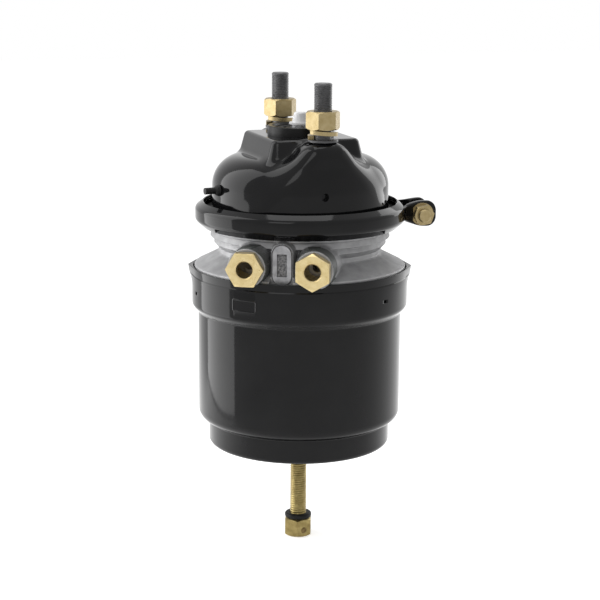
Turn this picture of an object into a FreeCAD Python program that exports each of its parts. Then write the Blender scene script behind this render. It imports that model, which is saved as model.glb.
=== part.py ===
import FreeCAD, Part
import math
import os
from types import SimpleNamespace

import Sketcher
from FreeCAD import Placement, Rotation, Vector

# Spring brake actuator for an air disc brake, in millimetres.
# Z points up. The origin is the middle of the mounting face, between the two studs.
# The studs lie along Y. An azimuth turns from -Y towards +X, seen from above.
# The release bolt is wound out, so the power spring is caged and the push rod is home.

SIZES = {
    # mounting face
    "stud_spacing": 120.65,
    "stud_radius": 8.0,
    "stud_top": 51.0,
    "stud_thread_radius": 7.5,
    "stud_neck_radius": 9.0,
    "stud_head_radius": 11.0,
    "stud_head_height": 4.0,
    "stud_collar_radius": 13.6,
    "stud_collar_height": 2.0,
    "stud_hole_clearance": 0.1,
    "stud_end_chamfer": 0.5,
    "nut_across_flats": 26.8,
    "nut_height": 16.0,
    "nut_chamfer": 1.6,
    "nut_turn": 56.3,
    "washer_section_width": 5.0,
    "washer_section_height": 3.4,
    "washer_free_height": 8.9,
    "washer_bore_clearance": 0.25,
    "seal_ring_radius": 30.0,
    "seal_ring_height": 8.4,
    "seal_ring_lip": 2.0,
    "opening_radius": 24.0,
    "boot_wall": 1.6,
    "boot_drop": 9.0,
    "boot_retainer_radius": 29.0,
    "boot_retainer_height": 2.0,
    # service housing, pressed steel
    "housing_inset": 7.9,
    "housing_wall": 3.0,
    "shoulder_drop": 18.0,
    "shoulder_round": 20.0,
    "lobe_round": 12.0,
    "block_half_width": 36.0,
    "block_half_length": 46.0,
    "block_round": 6.5,
    "block_draft": 18.0,
    "lobe_half_width": 15.0,
    "valley_round": 14.0,
    "flange_radius": 91.0,
    "housing_flange_drop": 68.0,
    "flange_wall": 3.0,
    "vent_drop": 46.5,
    "vent_radius": 3.0,
    "vent_hole_azimuth": -3.5,
    "vent_plug_azimuth": -82.0,
    "vent_plug_length": 14.5,
    "vent_plug_base_radius": 5.4,
    "vent_plug_shoulder": 3.2,
    "vent_plug_neck": 5.0,
    "vent_plug_barb": 1.5,
    # diaphragm and clamp
    "bead_thickness": 3.5,
    "diaphragm_wall": 3.0,
    "band_radius": 95.8,
    "band_wall": 2.6,
    "band_lip_radius": 88.2,
    "band_top_drop": 60.6,
    "band_bottom_drop": 82.6,
    "band_flat_top_drop": 65.4,
    "band_flat_bottom_drop": 76.4,
    "band_round": 3.0,
    "lug_azimuth": 80.0,
    "lug_margin": 13.0,
    "lug_thickness": 6.0,
    "lug_gap": 13.0,
    "lug_rise": 12.0,
    "lug_fall": 11.5,
    "lug_round": 8.0,
    "clamp_bolt_radius": 6.0,
    "clamp_bolt_stand_off": 15.2,
    "clamp_bolt_fall": 7.6,
    "clamp_bolt_tip": 3.5,
    "clamp_hex": 17.0,
    "clamp_nut_height": 10.5,
    "clamp_head_height": 7.5,
    "clamp_flange_radius": 10.4,
    "clamp_flange_height": 2.0,
    "clamp_chamfer": 1.0,
    "bolt_clearance": 0.3,
    # push rod
    "push_rod_radius": 9.0,
    "rod_shoulder": 9.2,
    "rod_foot_radius": 13.0,
    "rod_foot_height": 6.0,
    "rod_spigot_radius": 6.4,
    "push_rod_top": 18.4,
    "rod_tip_radius": 4.4,
    "rod_cap_wall": 1.6,
    "rod_cap_brim_radius": 10.5,
    "rod_cap_radius": 8.0,
    "rod_cap_tip_radius": 6.0,
    "push_plate_radius": 50.0,
    "push_plate_wall": 4.0,
    "return_wire_radius": 1.9,
    "return_coils": 3.5,
    "return_radius": 28.0,
    "coil_end_gap": 0.3,
    # intermediate housing, die cast
    "cast_flange_height": 4.5,
    "lip_radius": 84.6,
    "lip_bottom_drop": 85.5,
    "rib_radius": 82.0,
    "rib_bottom_drop": 92.0,
    "second_rib_radius": 78.6,
    "second_rib_bottom_drop": 98.0,
    "waist_radius": 74.0,
    "waist_top_drop": 102.5,
    "waist_bottom_drop": 106.5,
    "cone_radius": 97.6,
    "cone_edge_drop": 118.6,
    "cone_edge_height": 3.2,
    "spigot_bottom_drop": 148.0,
    "bowl_radius": 80.0,
    "bowl_floor_radius": 58.0,
    "bowl_floor_drop": 89.0,
    "web_thickness": 10.0,
    "hub_radius": 27.0,
    "hub_bottom_drop": 121.0,
    "cavity_radius": 65.0,
    "skirt_bore_radius": 85.0,
    "cavity_cone_top_drop": 112.0,
    "cavity_cone_bottom_drop": 127.0,
    "port_azimuth": -28.5,
    "port_offset": 29.8,
    "port_rise": 15.8,
    "port_boss_radius": 19.0,
    "port_face_reach": 99.6,
    "port_hex": 29.2,
    "port_hex_height": 9.0,
    "port_hex_chamfer": 0.8,
    "port_shank_radius": 11.0,
    "port_shank_length": 14.0,
    "port_thread_radius": 7.25,
    "port_countersink": 0.9,
    "port_seal_radius": 14.2,
    "port_seal_height": 1.2,
    "drilling_radius": 4.0,
    "riser_radius": 3.2,
    "service_feed_end": 62.5,
    "pad_side_rim": 2.0,
    "pad_top_rim": 1.8,
    "cover_foot_gap": 0.1,
    "pad_reach": 90.0,
    "cover_half_width": 8.1,
    "cover_half_height": 17.5,
    "cover_proud": 1.0,
    "cover_seat": 1.2,
    "seat_gap": 0.02,
    "window_half_width": 4.4,
    "window_half_height": 10.0,
    "filter_thickness": 2.5,
    "filter_rim": 1.0,
    # spring housing, deep drawn steel
    "can_wall": 2.7,
    "rim_radius": 99.0,
    "rim_top_drop": 122.0,
    "rim_bottom_drop": 155.0,
    "rim_edge_round": 1.2,
    "rim_foot_round": 6.0,
    "can_radius": 93.4,
    "can_bottom_drop": 263.0,
    "can_round": 10.0,
    "base_radius": 84.0,
    "base_drop": 286.6,
    "base_round": 5.0,
    "base_fillet": 2.0,
    "window_azimuth": 31.5,
    "window_step": 40.0,
    "window_width": 5.0,
    "window_height": 3.0,
    "window_drop": 141.0,
    "ear_azimuth": 71.3,
    "ear_reach": 103.0,
    "ear_width": 14.0,
    "ear_height": 9.0,
    "lock_ring_height": 2.6,
    "lock_ring_depth": 4.0,
    "flange_seal_section": 4.0,
    "flange_seal_depth": 3.2,
    "flange_seal_drop": 130.0,
    "fit_clearance": 0.1,
    "soft_gap": 0.8,
    "rubber_gap": 0.3,
    "edge_round": 1.0,
    "cast_round": 1.5,
    "cast_fillet": 4.0,
    "cavity_fillet": 5.0,
    "slot_flat": 0.4,
    # spring piston
    "piston_top_drop": 183.0,
    "piston_crown": 6.0,
    "piston_ring_fall": 31.0,
    "piston_skirt": 26.0,
    "piston_wall": 4.0,
    "piston_well_clearance": 2.3,
    "piston_clearance": 0.5,
    "seal_clearance": 0.05,
    "seal_lip": 0.6,
    "groove_depth": 4.0,
    "piston_seal_height": 5.0,
    "guide_ring_height": 6.0,
    "piston_land": 4.0,
    "piston_hub_radius": 24.0,
    "piston_hub_floor": 9.0,
    "piston_hub_fillet": 3.0,
    "tube_radius": 16.0,
    "tube_bore_radius": 12.6,
    "tube_top_drop": 97.0,
    "tube_floor": 5.0,
    "pad_cap_height": 6.0,
    "pad_cap_radius": 15.0,
    "bush_wall": 2.5,
    "bush_height": 16.0,
    "tube_seal_height": 5.0,
    "tube_clearance": 0.06,
    # power spring and base
    "spring_wire_radius": 6.7,
    "spring_radius": 66.0,
    "spring_coils": 5.5,
    "spring_seat_height": 3.0,
    "spring_seat_bore": 46.0,
    "spring_seat_radius": 76.0,
    "release_bush_radius": 17.0,
    "release_bush_height": 14.0,
    "release_bush_flange": 4.0,
    "release_bush_flange_radius": 25.0,
    "release_bush_proud": 1.5,
    # release bolt
    "spindle_radius": 7.7,
    "spindle_clearance": 0.06,
    "spindle_hole_clearance": 1.2,
    "release_nut_top_drop": 363.0,
    "release_nut_hex": 24.0,
    "release_nut_height": 17.0,
    "release_nut_bore": 7.0,
    "release_nut_chamfer": 1.8,
    "release_pin_radius": 3.2,
    "release_pin_level": 10.5,
    "release_pin_proud": 0.6,
    "release_ring_section": 2.4,
    "release_ring_round": 1.9,
    "bolt_head_radius": 11.4,
    "bolt_head_height": 9.0,
    "thrust_washer_height": 2.5,
    "thrust_washer_rim": 0.6,
    "piston_tube_seat_depth": 17.0,
}

STUD_COUNT = 2
RUNS_PER_TURN = 14
MITRED = 1
WINDOW_COUNT = 7
WASHER_START = 180
WASHER_TURNS = 0.96
PIN_AZIMUTH = 2
PARKING_HEX_TURN = 30

doc = FreeCAD.newDocument("spring_brake_actuator")


class Size:
    """A length or angle that knows both its number and the expression it comes from."""

    def __init__(self, value, text):
        self.value = value
        self.text = text

    def __float__(self):
        return self.value

    def __add__(self, other):
        other = as_size(other)
        return Size(self.value + other.value, f"({self.text} + {other.text})")

    def __radd__(self, other):
        return as_size(other) + self

    def __sub__(self, other):
        other = as_size(other)
        return Size(self.value - other.value, f"({self.text} - {other.text})")

    def __rsub__(self, other):
        return as_size(other) - self

    def __mul__(self, other):
        other = as_size(other)
        return Size(self.value * other.value, f"({self.text} * {other.text})")

    def __rmul__(self, other):
        return as_size(other) * self

    def __truediv__(self, other):
        other = as_size(other)
        return Size(self.value / other.value, f"({self.text} / {other.text})")

    def __neg__(self):
        return Size(-self.value, f"(0 - {self.text})")


def as_size(number):
    if isinstance(number, Size):
        return number
    return Size(float(number), repr(float(number)))


def size_sheet():
    """The driving dimensions, one row each, with the name beside the number."""
    sheet = doc.addObject("Spreadsheet::Sheet", "Sizes")
    for row, (name, number) in enumerate(SIZES.items(), start=1):
        sheet.set(f"A{row}", name)
        sheet.set(f"B{row}", str(number))
        sheet.setAlias(f"B{row}", name)
    doc.recompute()
    return SimpleNamespace(
        **{name: Size(float(number), f"Sizes.{name}") for name, number in SIZES.items()}
    )


s = size_sheet()
ZERO = as_size(0)
BODIES = []


def new_body(label, place=None):
    body = doc.addObject("PartDesign::Body", label)
    body.Label = label
    if place is not None:
        body.Placement = place
    BODIES.append(body)
    return body


def origin_feature(body, role):
    return [item for item in body.Origin.OriginFeatures if item.Role == role][0]


def bind(item, name, number):
    item.setExpression(name, as_size(number).text)


def sketch_on(body, name, plane="XZ_Plane", azimuth=None, reach=None, height=None):
    """A sketch on an origin plane; on XZ it may be turned to an azimuth and moved outwards."""
    sketch = body.newObject("Sketcher::SketchObject", name)
    sketch.AttachmentSupport = [(origin_feature(body, plane), "")]
    sketch.MapMode = "FlatFace"
    if azimuth is not None:
        turn = Rotation(Vector(0, 1, 0), float(azimuth))
        shift = turn.multVec(Vector(0, 0, float(as_size(reach or 0))))
        sketch.AttachmentOffset = Placement(shift, turn)
    if height is not None:
        sketch.AttachmentOffset = Placement(Vector(0, 0, float(height)), Rotation())
        bind(sketch, "AttachmentOffset.Base.z", height)
    return sketch


def fix_point(rules, bound, geometry, position, x, y):
    """Rules that hold a point at x, y; a zero puts it on the axis."""
    if x.value == 0:
        rules.append(Sketcher.Constraint("PointOnObject", geometry, position, -2))
    else:
        bound.append((len(rules), x))
        rules.append(Sketcher.Constraint("DistanceX", -1, 1, geometry, position, x.value))
    if y.value == 0:
        rules.append(Sketcher.Constraint("PointOnObject", geometry, position, -1))
    else:
        bound.append((len(rules), y))
        rules.append(Sketcher.Constraint("DistanceY", -1, 1, geometry, position, y.value))


def corner_arc(before, corner, after, radius):
    """The arc that rounds a corner: centre, entry point, exit point and turning side."""
    back = (before - corner).normalize()
    ahead = (after - corner).normalize()
    half = back.getAngle(ahead) / 2
    reach = radius / math.tan(half)
    middle = (back + ahead).normalize()
    centre = corner + middle * (radius / math.sin(half))
    turning = (corner - before).cross(after - corner).z
    return centre, corner + back * reach, corner + ahead * reach, turning > 0


def draw_outline(sketch, corners):
    """A closed outline through the corners; a corner with a third value is rounded by it."""
    corners = [tuple(as_size(number) for number in corner) for corner in corners]
    points = [Vector(corner[0].value, corner[1].value, 0) for corner in corners]
    count = len(corners)
    first = sketch.GeometryCount
    arcs = {}
    for i, corner in enumerate(corners):
        if len(corner) > 2:
            arcs[i] = corner_arc(points[i - 1], points[i], points[(i + 1) % count], corner[2].value)
    for i in range(count):
        follower = (i + 1) % count
        start = arcs[i][2] if i in arcs else points[i]
        end = arcs[follower][1] if follower in arcs else points[follower]
        sketch.addGeometry(Part.LineSegment(start, end))
    rules = []
    bound = []
    for i, corner in enumerate(corners):
        arriving = first + (i - 1) % count
        leaving = first + i
        if i not in arcs:
            rules.append(Sketcher.Constraint("Coincident", arriving, 2, leaving, 1))
            fix_point(rules, bound, leaving, 1, corner[0], corner[1])
            continue
        centre, entry, leave, leftwards = arcs[i]
        angles = [math.atan2(p.y - centre.y, p.x - centre.x) for p in (entry, leave)]
        if not leftwards:
            angles.reverse()
        if angles[1] < angles[0]:
            angles[1] += 2 * math.pi
        circle = Part.Circle(centre, Vector(0, 0, 1), corner[2].value)
        arc = sketch.addGeometry(Part.ArcOfCircle(circle, angles[0], angles[1]))
        mark = sketch.addGeometry(Part.Point(points[i]), True)
        arc_in, arc_out = (1, 2) if leftwards else (2, 1)
        rules.append(Sketcher.Constraint("Tangent", arriving, 2, arc, arc_in))
        rules.append(Sketcher.Constraint("Tangent", arc, arc_out, leaving, 1))
        bound.append((len(rules), corner[2]))
        rules.append(Sketcher.Constraint("Radius", arc, corner[2].value))
        rules.append(Sketcher.Constraint("PointOnObject", mark, 1, arriving))
        rules.append(Sketcher.Constraint("PointOnObject", mark, 1, leaving))
        fix_point(rules, bound, mark, 1, corner[0], corner[1])
    numbers = sketch.addConstraint(rules)
    for index, number in bound:
        bind(sketch, f"Constraints[{numbers[index]}]", number)


def draw_circle(sketch, x, y, radius):
    x, y, radius = as_size(x), as_size(y), as_size(radius)
    circle = sketch.addGeometry(Part.Circle(Vector(x.value, y.value, 0), Vector(0, 0, 1), radius.value))
    rules = []
    bound = []
    fix_point(rules, bound, circle, 3, x, y)
    bound.append((len(rules), radius))
    rules.append(Sketcher.Constraint("Radius", circle, radius.value))
    numbers = sketch.addConstraint(rules)
    for index, number in bound:
        bind(sketch, f"Constraints[{numbers[index]}]", number)


def hexagon(flats, turn=0.0, x=0, y=0):
    """Corners of a hexagon by its width across flats; a turn of 0 puts a corner on the x axis."""
    corner_radius = as_size(flats) / math.sqrt(3)
    corners = []
    for k in range(6):
        angle = math.radians(turn + 60 * k)
        corners.append((x + corner_radius * math.cos(angle), y + corner_radius * math.sin(angle)))
    return corners


def revolve(body, name, corners, cut=False, axis="V_Axis", **place):
    """Turn an outline of radius and height about the body's Z axis, as material or as a cut."""
    sketch = sketch_on(body, name + "_profile", **place)
    draw_outline(sketch, corners)
    kind = "PartDesign::Groove" if cut else "PartDesign::Revolution"
    feature = body.newObject(kind, name)
    feature.Profile = sketch
    feature.ReferenceAxis = (sketch, [axis])
    feature.Angle = 360
    doc.recompute()
    return feature


def extrude(body, name, draw, length, cut=False, towards=1, taper=None, both=False, **place):
    """Pad or pocket what draw() puts in the sketch; towards=1 follows the sketch's own normal."""
    sketch = sketch_on(body, name + "_profile", **place)
    draw(sketch)
    kind = "PartDesign::Pocket" if cut else "PartDesign::Pad"
    feature = body.newObject(kind, name)
    feature.Profile = sketch
    bind(feature, "Length", length)
    forward = towards > 0
    feature.Reversed = forward if cut else not forward
    feature.Midplane = both
    if taper is not None:
        bind(feature, "TaperAngle", taper)
    doc.recompute()
    return feature


def repeat_along_y(body, features, spacing, count):
    """Copies of the features along Y, over the whole spacing."""
    pattern = body.newObject("PartDesign::LinearPattern", body.Label + "_row")
    pattern.Originals = features
    pattern.Direction = (origin_feature(body, "Y_Axis"), [""])
    bind(pattern, "Length", spacing)
    pattern.Occurrences = count
    body.Tip = pattern
    doc.recompute()
    return pattern


def repeat_around_z(body, features, angle, count):
    """Copies of the features about Z, over the whole angle."""
    pattern = body.newObject("PartDesign::PolarPattern", body.Label + "_ring")
    pattern.Originals = features
    pattern.Axis = (origin_feature(body, "Z_Axis"), [""])
    bind(pattern, "Angle", angle)
    pattern.Occurrences = count
    body.Tip = pattern
    doc.recompute()
    return pattern


def coil_spring(label, radius, wire_radius, low, rise, turns):
    """A round wire wound about Z in short straight runs, from its first centre height up."""
    radius, wire_radius, low, rise, turns = (
        float(as_size(number)) for number in (radius, wire_radius, low, rise, turns)
    )
    runs = round(turns * RUNS_PER_TURN)
    corners = []
    for i in range(runs + 1):
        angle = 2 * math.pi * i / RUNS_PER_TURN
        height = low + rise * i / runs
        corners.append(Vector(radius * math.cos(angle), radius * math.sin(angle), height))
    path = Part.makePolygon(corners)
    section = Part.Circle(corners[0], corners[1] - corners[0], wire_radius).toShape()
    coil = path.makePipeShell([Part.Wire([section])], True, False, MITRED)
    if coil.ShapeType != "Solid":
        coil = Part.makeSolid(coil)
    spring = doc.addObject("Part::Feature", label)
    spring.Label = label
    spring.Shape = coil
    spring.Placement = Placement()
    BODIES.append(spring)
    return spring


def ring_outline(inner, outer, low, high):
    return [(inner, low), (outer, low), (outer, high), (inner, high)]


# Places that several pieces share.
flange_top = -(s.housing_flange_drop - s.flange_wall)
bead_top = -s.housing_flange_drop
bead_bottom = bead_top - s.bead_thickness
can_bore = s.can_radius - s.can_wall
rim_bore = s.rim_radius - s.can_wall
base_top = s.can_wall - s.base_drop
spring_floor = base_top + s.spring_seat_height
crown_top = -s.piston_top_drop
crown_bottom = crown_top - s.piston_crown
housing_radius = s.band_lip_radius - s.housing_inset
piston_ring_drop = s.piston_top_drop + s.piston_ring_fall
piston_tube_seat_drop = s.piston_top_drop + s.piston_tube_seat_depth
piston_hub_drop = piston_tube_seat_drop + s.piston_hub_floor
clamp_bolt_reach = s.band_radius + s.clamp_bolt_stand_off
clamp_bolt_drop = s.band_flat_top_drop + s.clamp_bolt_fall
lug_reach = clamp_bolt_reach + s.lug_margin
lug_top_drop = clamp_bolt_drop - s.lug_rise
lug_bottom_drop = clamp_bolt_drop + s.lug_fall
cone_bottom_drop = s.cone_edge_drop + s.cone_edge_height
port_drop = cone_bottom_drop - s.port_rise
cover_drop = cone_bottom_drop - s.cover_foot_gap - s.cover_half_height
pad_top_drop = cover_drop - s.cover_half_height - s.pad_top_rim
pad_half_width = s.cover_half_width + s.pad_side_rim
bowl_floor = -s.bowl_floor_drop
web_bottom = bowl_floor - s.web_thickness
plate_bottom = bowl_floor + s.diaphragm_wall
plate_top = plate_bottom + s.push_plate_wall
stud_place = Placement(Vector(0, -float(s.stud_spacing) / 2, 0), Rotation())
hub_bore = s.tube_radius + s.bush_wall
tube_guide_radius = s.tube_radius + s.tube_clearance


def block_outline(inset):
    """Plan of the raised block: wide in the middle, with a narrower lobe out to each stud."""
    wide = s.block_half_width - inset
    lobe = s.lobe_half_width - inset
    end = housing_radius + s.lobe_round
    quarter = [
        (wide, s.block_half_length - inset, s.block_round - inset),
        (lobe, s.block_half_length - inset, s.valley_round + inset),
        (lobe, end),
    ]
    flip_x = [(-corner[0],) + corner[1:] for corner in reversed(quarter)]
    half = quarter + flip_x
    flip_y = [(-corner[0], -corner[1]) + corner[2:] for corner in half]
    return half + flip_y


def housing_form(body, inset):
    """The pressed form of the service housing, drawn in by an inset for its inner side."""
    radius = housing_radius - inset
    top = ZERO - inset
    shoulder_top = -s.shoulder_drop - inset
    shoulder_centre = -s.shoulder_drop - s.shoulder_round
    floor = bead_top - 1 if inset.value else bead_top
    outside = radius + s.shoulder_round
    revolve(body, body.Label + "_cup", [
        (0, floor),
        (radius, floor),
        (radius, shoulder_top, s.shoulder_round - inset),
        (0, shoulder_top),
    ])
    extrude(
        body,
        body.Label + "_block",
        lambda sketch: draw_outline(sketch, block_outline(inset)),
        s.shoulder_drop + s.shoulder_round - inset,
        towards=-1,
        taper=s.block_draft,
        plane="XY_Plane",
        height=top,
    )
    revolve(body, body.Label + "_limit", [
        (radius, shoulder_centre - 1),
        (outside + s.shoulder_round, shoulder_centre - 1),
        (outside + s.shoulder_round, top + 1),
        (radius - s.shoulder_round, top + 1),
        (radius - s.shoulder_round, top),
        (radius, top, s.lobe_round - inset),
    ], cut=True)


def service_housing():
    body = new_body("service_housing")
    housing_form(body, ZERO)
    revolve(body, "flange", [
        (0, bead_top),
        (s.flange_radius, bead_top),
        (s.flange_radius, flange_top),
        (housing_radius, flange_top, s.flange_wall),
        (housing_radius, flange_top + s.shoulder_round),
        (0, flange_top + s.shoulder_round),
    ])
    hollow = doc.addObject("PartDesign::Body", "housing_hollow")
    hollow.Label = "housing_hollow"
    housing_form(hollow, s.housing_wall)
    cut = body.newObject("PartDesign::Boolean", "hollow_cut")
    cut.Type = "Cut"
    cut.addObjects([hollow])
    doc.recompute()
    hole = s.stud_neck_radius + s.stud_hole_clearance

    def top_holes(sketch):
        draw_circle(sketch, 0, 0, s.opening_radius)
        draw_circle(sketch, 0, s.stud_spacing / 2, hole)
        draw_circle(sketch, 0, -s.stud_spacing / 2, hole)

    extrude(body, "top_openings", top_holes, s.shoulder_drop / 2, cut=True, both=True, plane="XY_Plane")
    for name, azimuth in (("drain", s.vent_hole_azimuth), ("plug_hole", s.vent_plug_azimuth)):
        extrude(
            body,
            name,
            lambda sketch: draw_circle(sketch, 0, -s.vent_drop, s.vent_radius),
            housing_radius + 1,
            cut=True,
            azimuth=azimuth,
        )
    return body


def mounting_studs():
    body = new_body("mounting_studs", stud_place)
    collar = s.stud_collar_height
    thread_end = collar + s.washer_free_height + s.nut_height
    head_top = -s.housing_wall - s.stud_hole_clearance
    stud = revolve(body, "stud", [
        (0, -s.housing_wall - s.stud_head_height),
        (s.stud_head_radius, -s.housing_wall - s.stud_head_height),
        (s.stud_head_radius, head_top - s.stud_head_height / 2),
        (s.stud_neck_radius, head_top),
        (s.stud_neck_radius, 0),
        (s.stud_collar_radius, 0),
        (s.stud_collar_radius, collar),
        (s.stud_thread_radius, collar),
        (s.stud_thread_radius, thread_end),
        (s.stud_radius, thread_end),
        (s.stud_radius, s.stud_top - s.stud_end_chamfer),
        (s.stud_radius - s.stud_end_chamfer, s.stud_top),
        (0, s.stud_top),
    ])
    repeat_along_y(body, [stud], s.stud_spacing, STUD_COUNT)


def hex_body(body, flats, low, high, chamfer, bore, turn):
    """A hexagon nut with chamfered corners: a turned blank, then six flats."""
    blank_radius = flats / math.sqrt(3)
    flat_radius = flats / 2
    blank = revolve(body, body.Label + "_blank", [
        (bore, low),
        (flat_radius, low),
        (blank_radius, low + chamfer),
        (blank_radius, high - chamfer),
        (flat_radius, high),
        (bore, high),
    ])

    def waste(sketch):
        draw_circle(sketch, 0, 0, blank_radius + 1)
        draw_outline(sketch, hexagon(flats, turn))

    flats_cut = extrude(
        body,
        body.Label + "_flats",
        waste,
        high - low,
        cut=True,
        plane="XY_Plane",
        height=low,
    )
    return [blank, flats_cut]


def stud_nuts():
    body = new_body("stud_nuts", stud_place)
    low = s.stud_collar_height + s.washer_free_height
    features = hex_body(
        body,
        s.nut_across_flats,
        low,
        low + s.nut_height,
        s.nut_chamfer,
        s.stud_thread_radius,
        s.nut_turn.value,
    )
    repeat_along_y(body, features, s.stud_spacing, STUD_COUNT)


def spring_washers():
    """Open split washers: one turn of square wire that climbs to its free height."""
    body = new_body("spring_washers", stud_place)
    sketch = sketch_on(body, "washer_section", azimuth=WASHER_START)
    inner = s.stud_radius + s.washer_bore_clearance
    low = s.stud_collar_height
    draw_outline(
        sketch,
        ring_outline(inner, inner + s.washer_section_width, low, low + s.washer_section_height),
    )
    coil = body.newObject("PartDesign::AdditiveHelix", "washer_turn")
    coil.Profile = sketch
    coil.ReferenceAxis = (sketch, ["V_Axis"])
    coil.Mode = 2
    bind(coil, "Height", s.washer_free_height - s.washer_section_height)
    coil.Turns = WASHER_TURNS
    coil.LeftHanded = True
    doc.recompute()
    repeat_along_y(body, [coil], s.stud_spacing, STUD_COUNT)


def seal_ring():
    body = new_body("seal_ring")
    height = s.seal_ring_height
    revolve(body, "ring", [
        (s.opening_radius, 0),
        (s.seal_ring_radius, 0),
        (s.seal_ring_radius, height, s.seal_ring_lip / 2),
        (s.opening_radius + s.seal_ring_lip, height),
        (s.opening_radius, height - s.seal_ring_lip),
    ])


def push_rod_boot():
    """Rolled boot from the retainer up inside the seal ring and in to the push rod."""
    body = new_body("push_rod_boot")
    wall = s.boot_wall
    outer = s.opening_radius - s.rubber_gap
    inner = s.push_rod_radius + s.rubber_gap
    low = -s.housing_wall - wall
    crest = s.seal_ring_height - s.seal_ring_lip
    trough = crest - s.boot_drop / 2
    neck = inner + 2.5 * wall
    middle = (outer + neck) / 2
    revolve(body, "boot", [
        (s.boot_retainer_radius - wall, low),
        (s.boot_retainer_radius - wall, -s.housing_wall),
        (outer, -s.housing_wall),
        (outer, crest, 2 * wall),
        (middle, crest, wall),
        (middle, trough, wall),
        (neck, trough, wall),
        (neck, crest),
        (inner, crest),
        (inner, trough - wall),
        (middle + wall, trough - wall, wall),
        (middle + wall, crest - wall, wall / 4),
        (outer - wall, crest - wall, wall / 4),
        (outer - wall, low),
    ])


def boot_retainer():
    body = new_body("boot_retainer")
    outer = s.boot_retainer_radius
    high = -s.housing_wall
    low = high - s.boot_wall
    wall = s.boot_retainer_height
    revolve(body, "ring", [
        (s.opening_radius - 2 * s.boot_wall, low - wall),
        (outer + wall, low - wall),
        (outer + wall, high),
        (outer, high),
        (outer, low),
        (s.opening_radius - 2 * s.boot_wall, low),
    ])


def push_rod():
    body = new_body("push_rod")
    radius = s.push_rod_radius
    revolve(body, "rod", [
        (0, plate_top),
        (s.rod_foot_radius, plate_top),
        (s.rod_foot_radius, plate_top + s.rod_foot_height),
        (radius, plate_top + 2 * s.rod_foot_height),
        (radius, s.rod_shoulder),
        (s.rod_spigot_radius, s.rod_shoulder),
        (s.rod_tip_radius, s.push_rod_top),
        (0, s.push_rod_top),
    ])


def push_rod_cap():
    """Plastic cap over the tapered tip, with a brim that shows above the seal ring."""
    body = new_body("push_rod_cap")
    wall = s.rod_cap_wall
    tip = s.push_rod_top
    brim = s.rod_shoulder
    revolve(body, "cap", [
        (s.rod_spigot_radius, brim),
        (s.rod_cap_brim_radius, brim),
        (s.rod_cap_brim_radius, brim + wall),
        (s.rod_cap_radius, brim + wall),
        (s.rod_cap_tip_radius, tip + wall, wall),
        (0, tip + wall),
        (0, tip),
        (s.rod_tip_radius, tip),
    ])


def push_plate():
    body = new_body("push_plate")
    radius = s.push_plate_radius
    wall = s.push_plate_wall
    revolve(body, "plate", [
        (0, plate_bottom),
        (radius - wall, plate_bottom, wall),
        (radius, plate_bottom + wall, wall / 2),
        (radius, plate_top + wall / 2),
        (radius - wall / 2, plate_top + wall / 2),
        (radius - 2 * wall, plate_top),
        (0, plate_top),
    ])


def return_spring():
    wire = s.return_wire_radius
    low = plate_top + wire + s.coil_end_gap
    high = -s.housing_wall - s.boot_wall - s.boot_retainer_height - wire - s.coil_end_gap
    rise = high - low
    coil_spring("return_spring", s.return_radius, wire, low, rise, s.return_coils)


def service_diaphragm():
    """Moulded cup: a clamped bead, a rolled side and a flat middle on the bowl's floor."""
    body = new_body("service_diaphragm")
    wall = s.diaphragm_wall
    bead = s.flange_radius - s.soft_gap
    side = s.bowl_radius - s.soft_gap
    foot = s.bowl_floor_radius - s.soft_gap
    floor = bowl_floor
    revolve(body, "cup", [
        (0, floor),
        (foot, floor, wall),
        (side, bead_bottom, wall),
        (bead, bead_bottom),
        (bead, bead_top),
        (side + wall / 2, bead_top),
        (foot + wall / 2, floor + wall, wall),
        (0, floor + wall),
    ])


def clamp_band():
    """Rolled V section, split at the lugs, with the two bolt lugs turned outwards."""
    body = new_body("clamp_band")
    wall = s.band_wall
    lip = s.band_lip_radius
    outer = s.band_radius
    inner = outer - wall
    revolve(body, "channel", [
        (lip, -s.band_top_drop),
        (outer, -s.band_flat_top_drop, s.band_round),
        (outer, -s.band_flat_bottom_drop, s.band_round),
        (lip, -s.band_bottom_drop),
        (lip, wall - s.band_bottom_drop),
        (inner, -s.band_flat_bottom_drop),
        (inner, -s.band_flat_top_drop),
        (lip, -s.band_top_drop - wall),
    ])
    normal = s.lug_azimuth.value - 90
    half_gap = s.lug_gap / 2
    extrude(
        body,
        "split",
        lambda sketch: draw_outline(sketch, ring_outline(
            housing_radius + 1, lug_reach, -lug_bottom_drop, -s.band_top_drop + 1)),
        s.lug_gap,
        cut=True,
        both=True,
        azimuth=normal,
    )
    root = inner + wall / 2

    def lug(reach):
        return lambda sketch: draw_outline(sketch, [
            (root, wall / 2 - s.band_flat_bottom_drop),
            (outer + s.lug_round, -lug_bottom_drop, s.lug_round),
            (reach, -lug_bottom_drop, s.lug_round),
            (reach, -lug_top_drop, s.lug_round),
            (outer, -lug_top_drop, s.band_round),
            (root, -wall / 2 - s.band_flat_top_drop),
        ])

    extrude(body, "near_lug", lug(lug_reach), s.lug_thickness, azimuth=normal, reach=half_gap)
    extrude(
        body,
        "far_lug",
        lug(lug_reach - s.lug_round / 2),
        s.lug_thickness,
        towards=-1,
        azimuth=normal,
        reach=-half_gap,
    )
    extrude(
        body,
        "bolt_hole",
        lambda sketch: draw_circle(
            sketch, clamp_bolt_reach, -clamp_bolt_drop, s.clamp_bolt_radius + s.bolt_clearance),
        2 * s.lug_thickness + s.lug_gap + 2,
        cut=True,
        both=True,
        azimuth=normal,
    )


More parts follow.
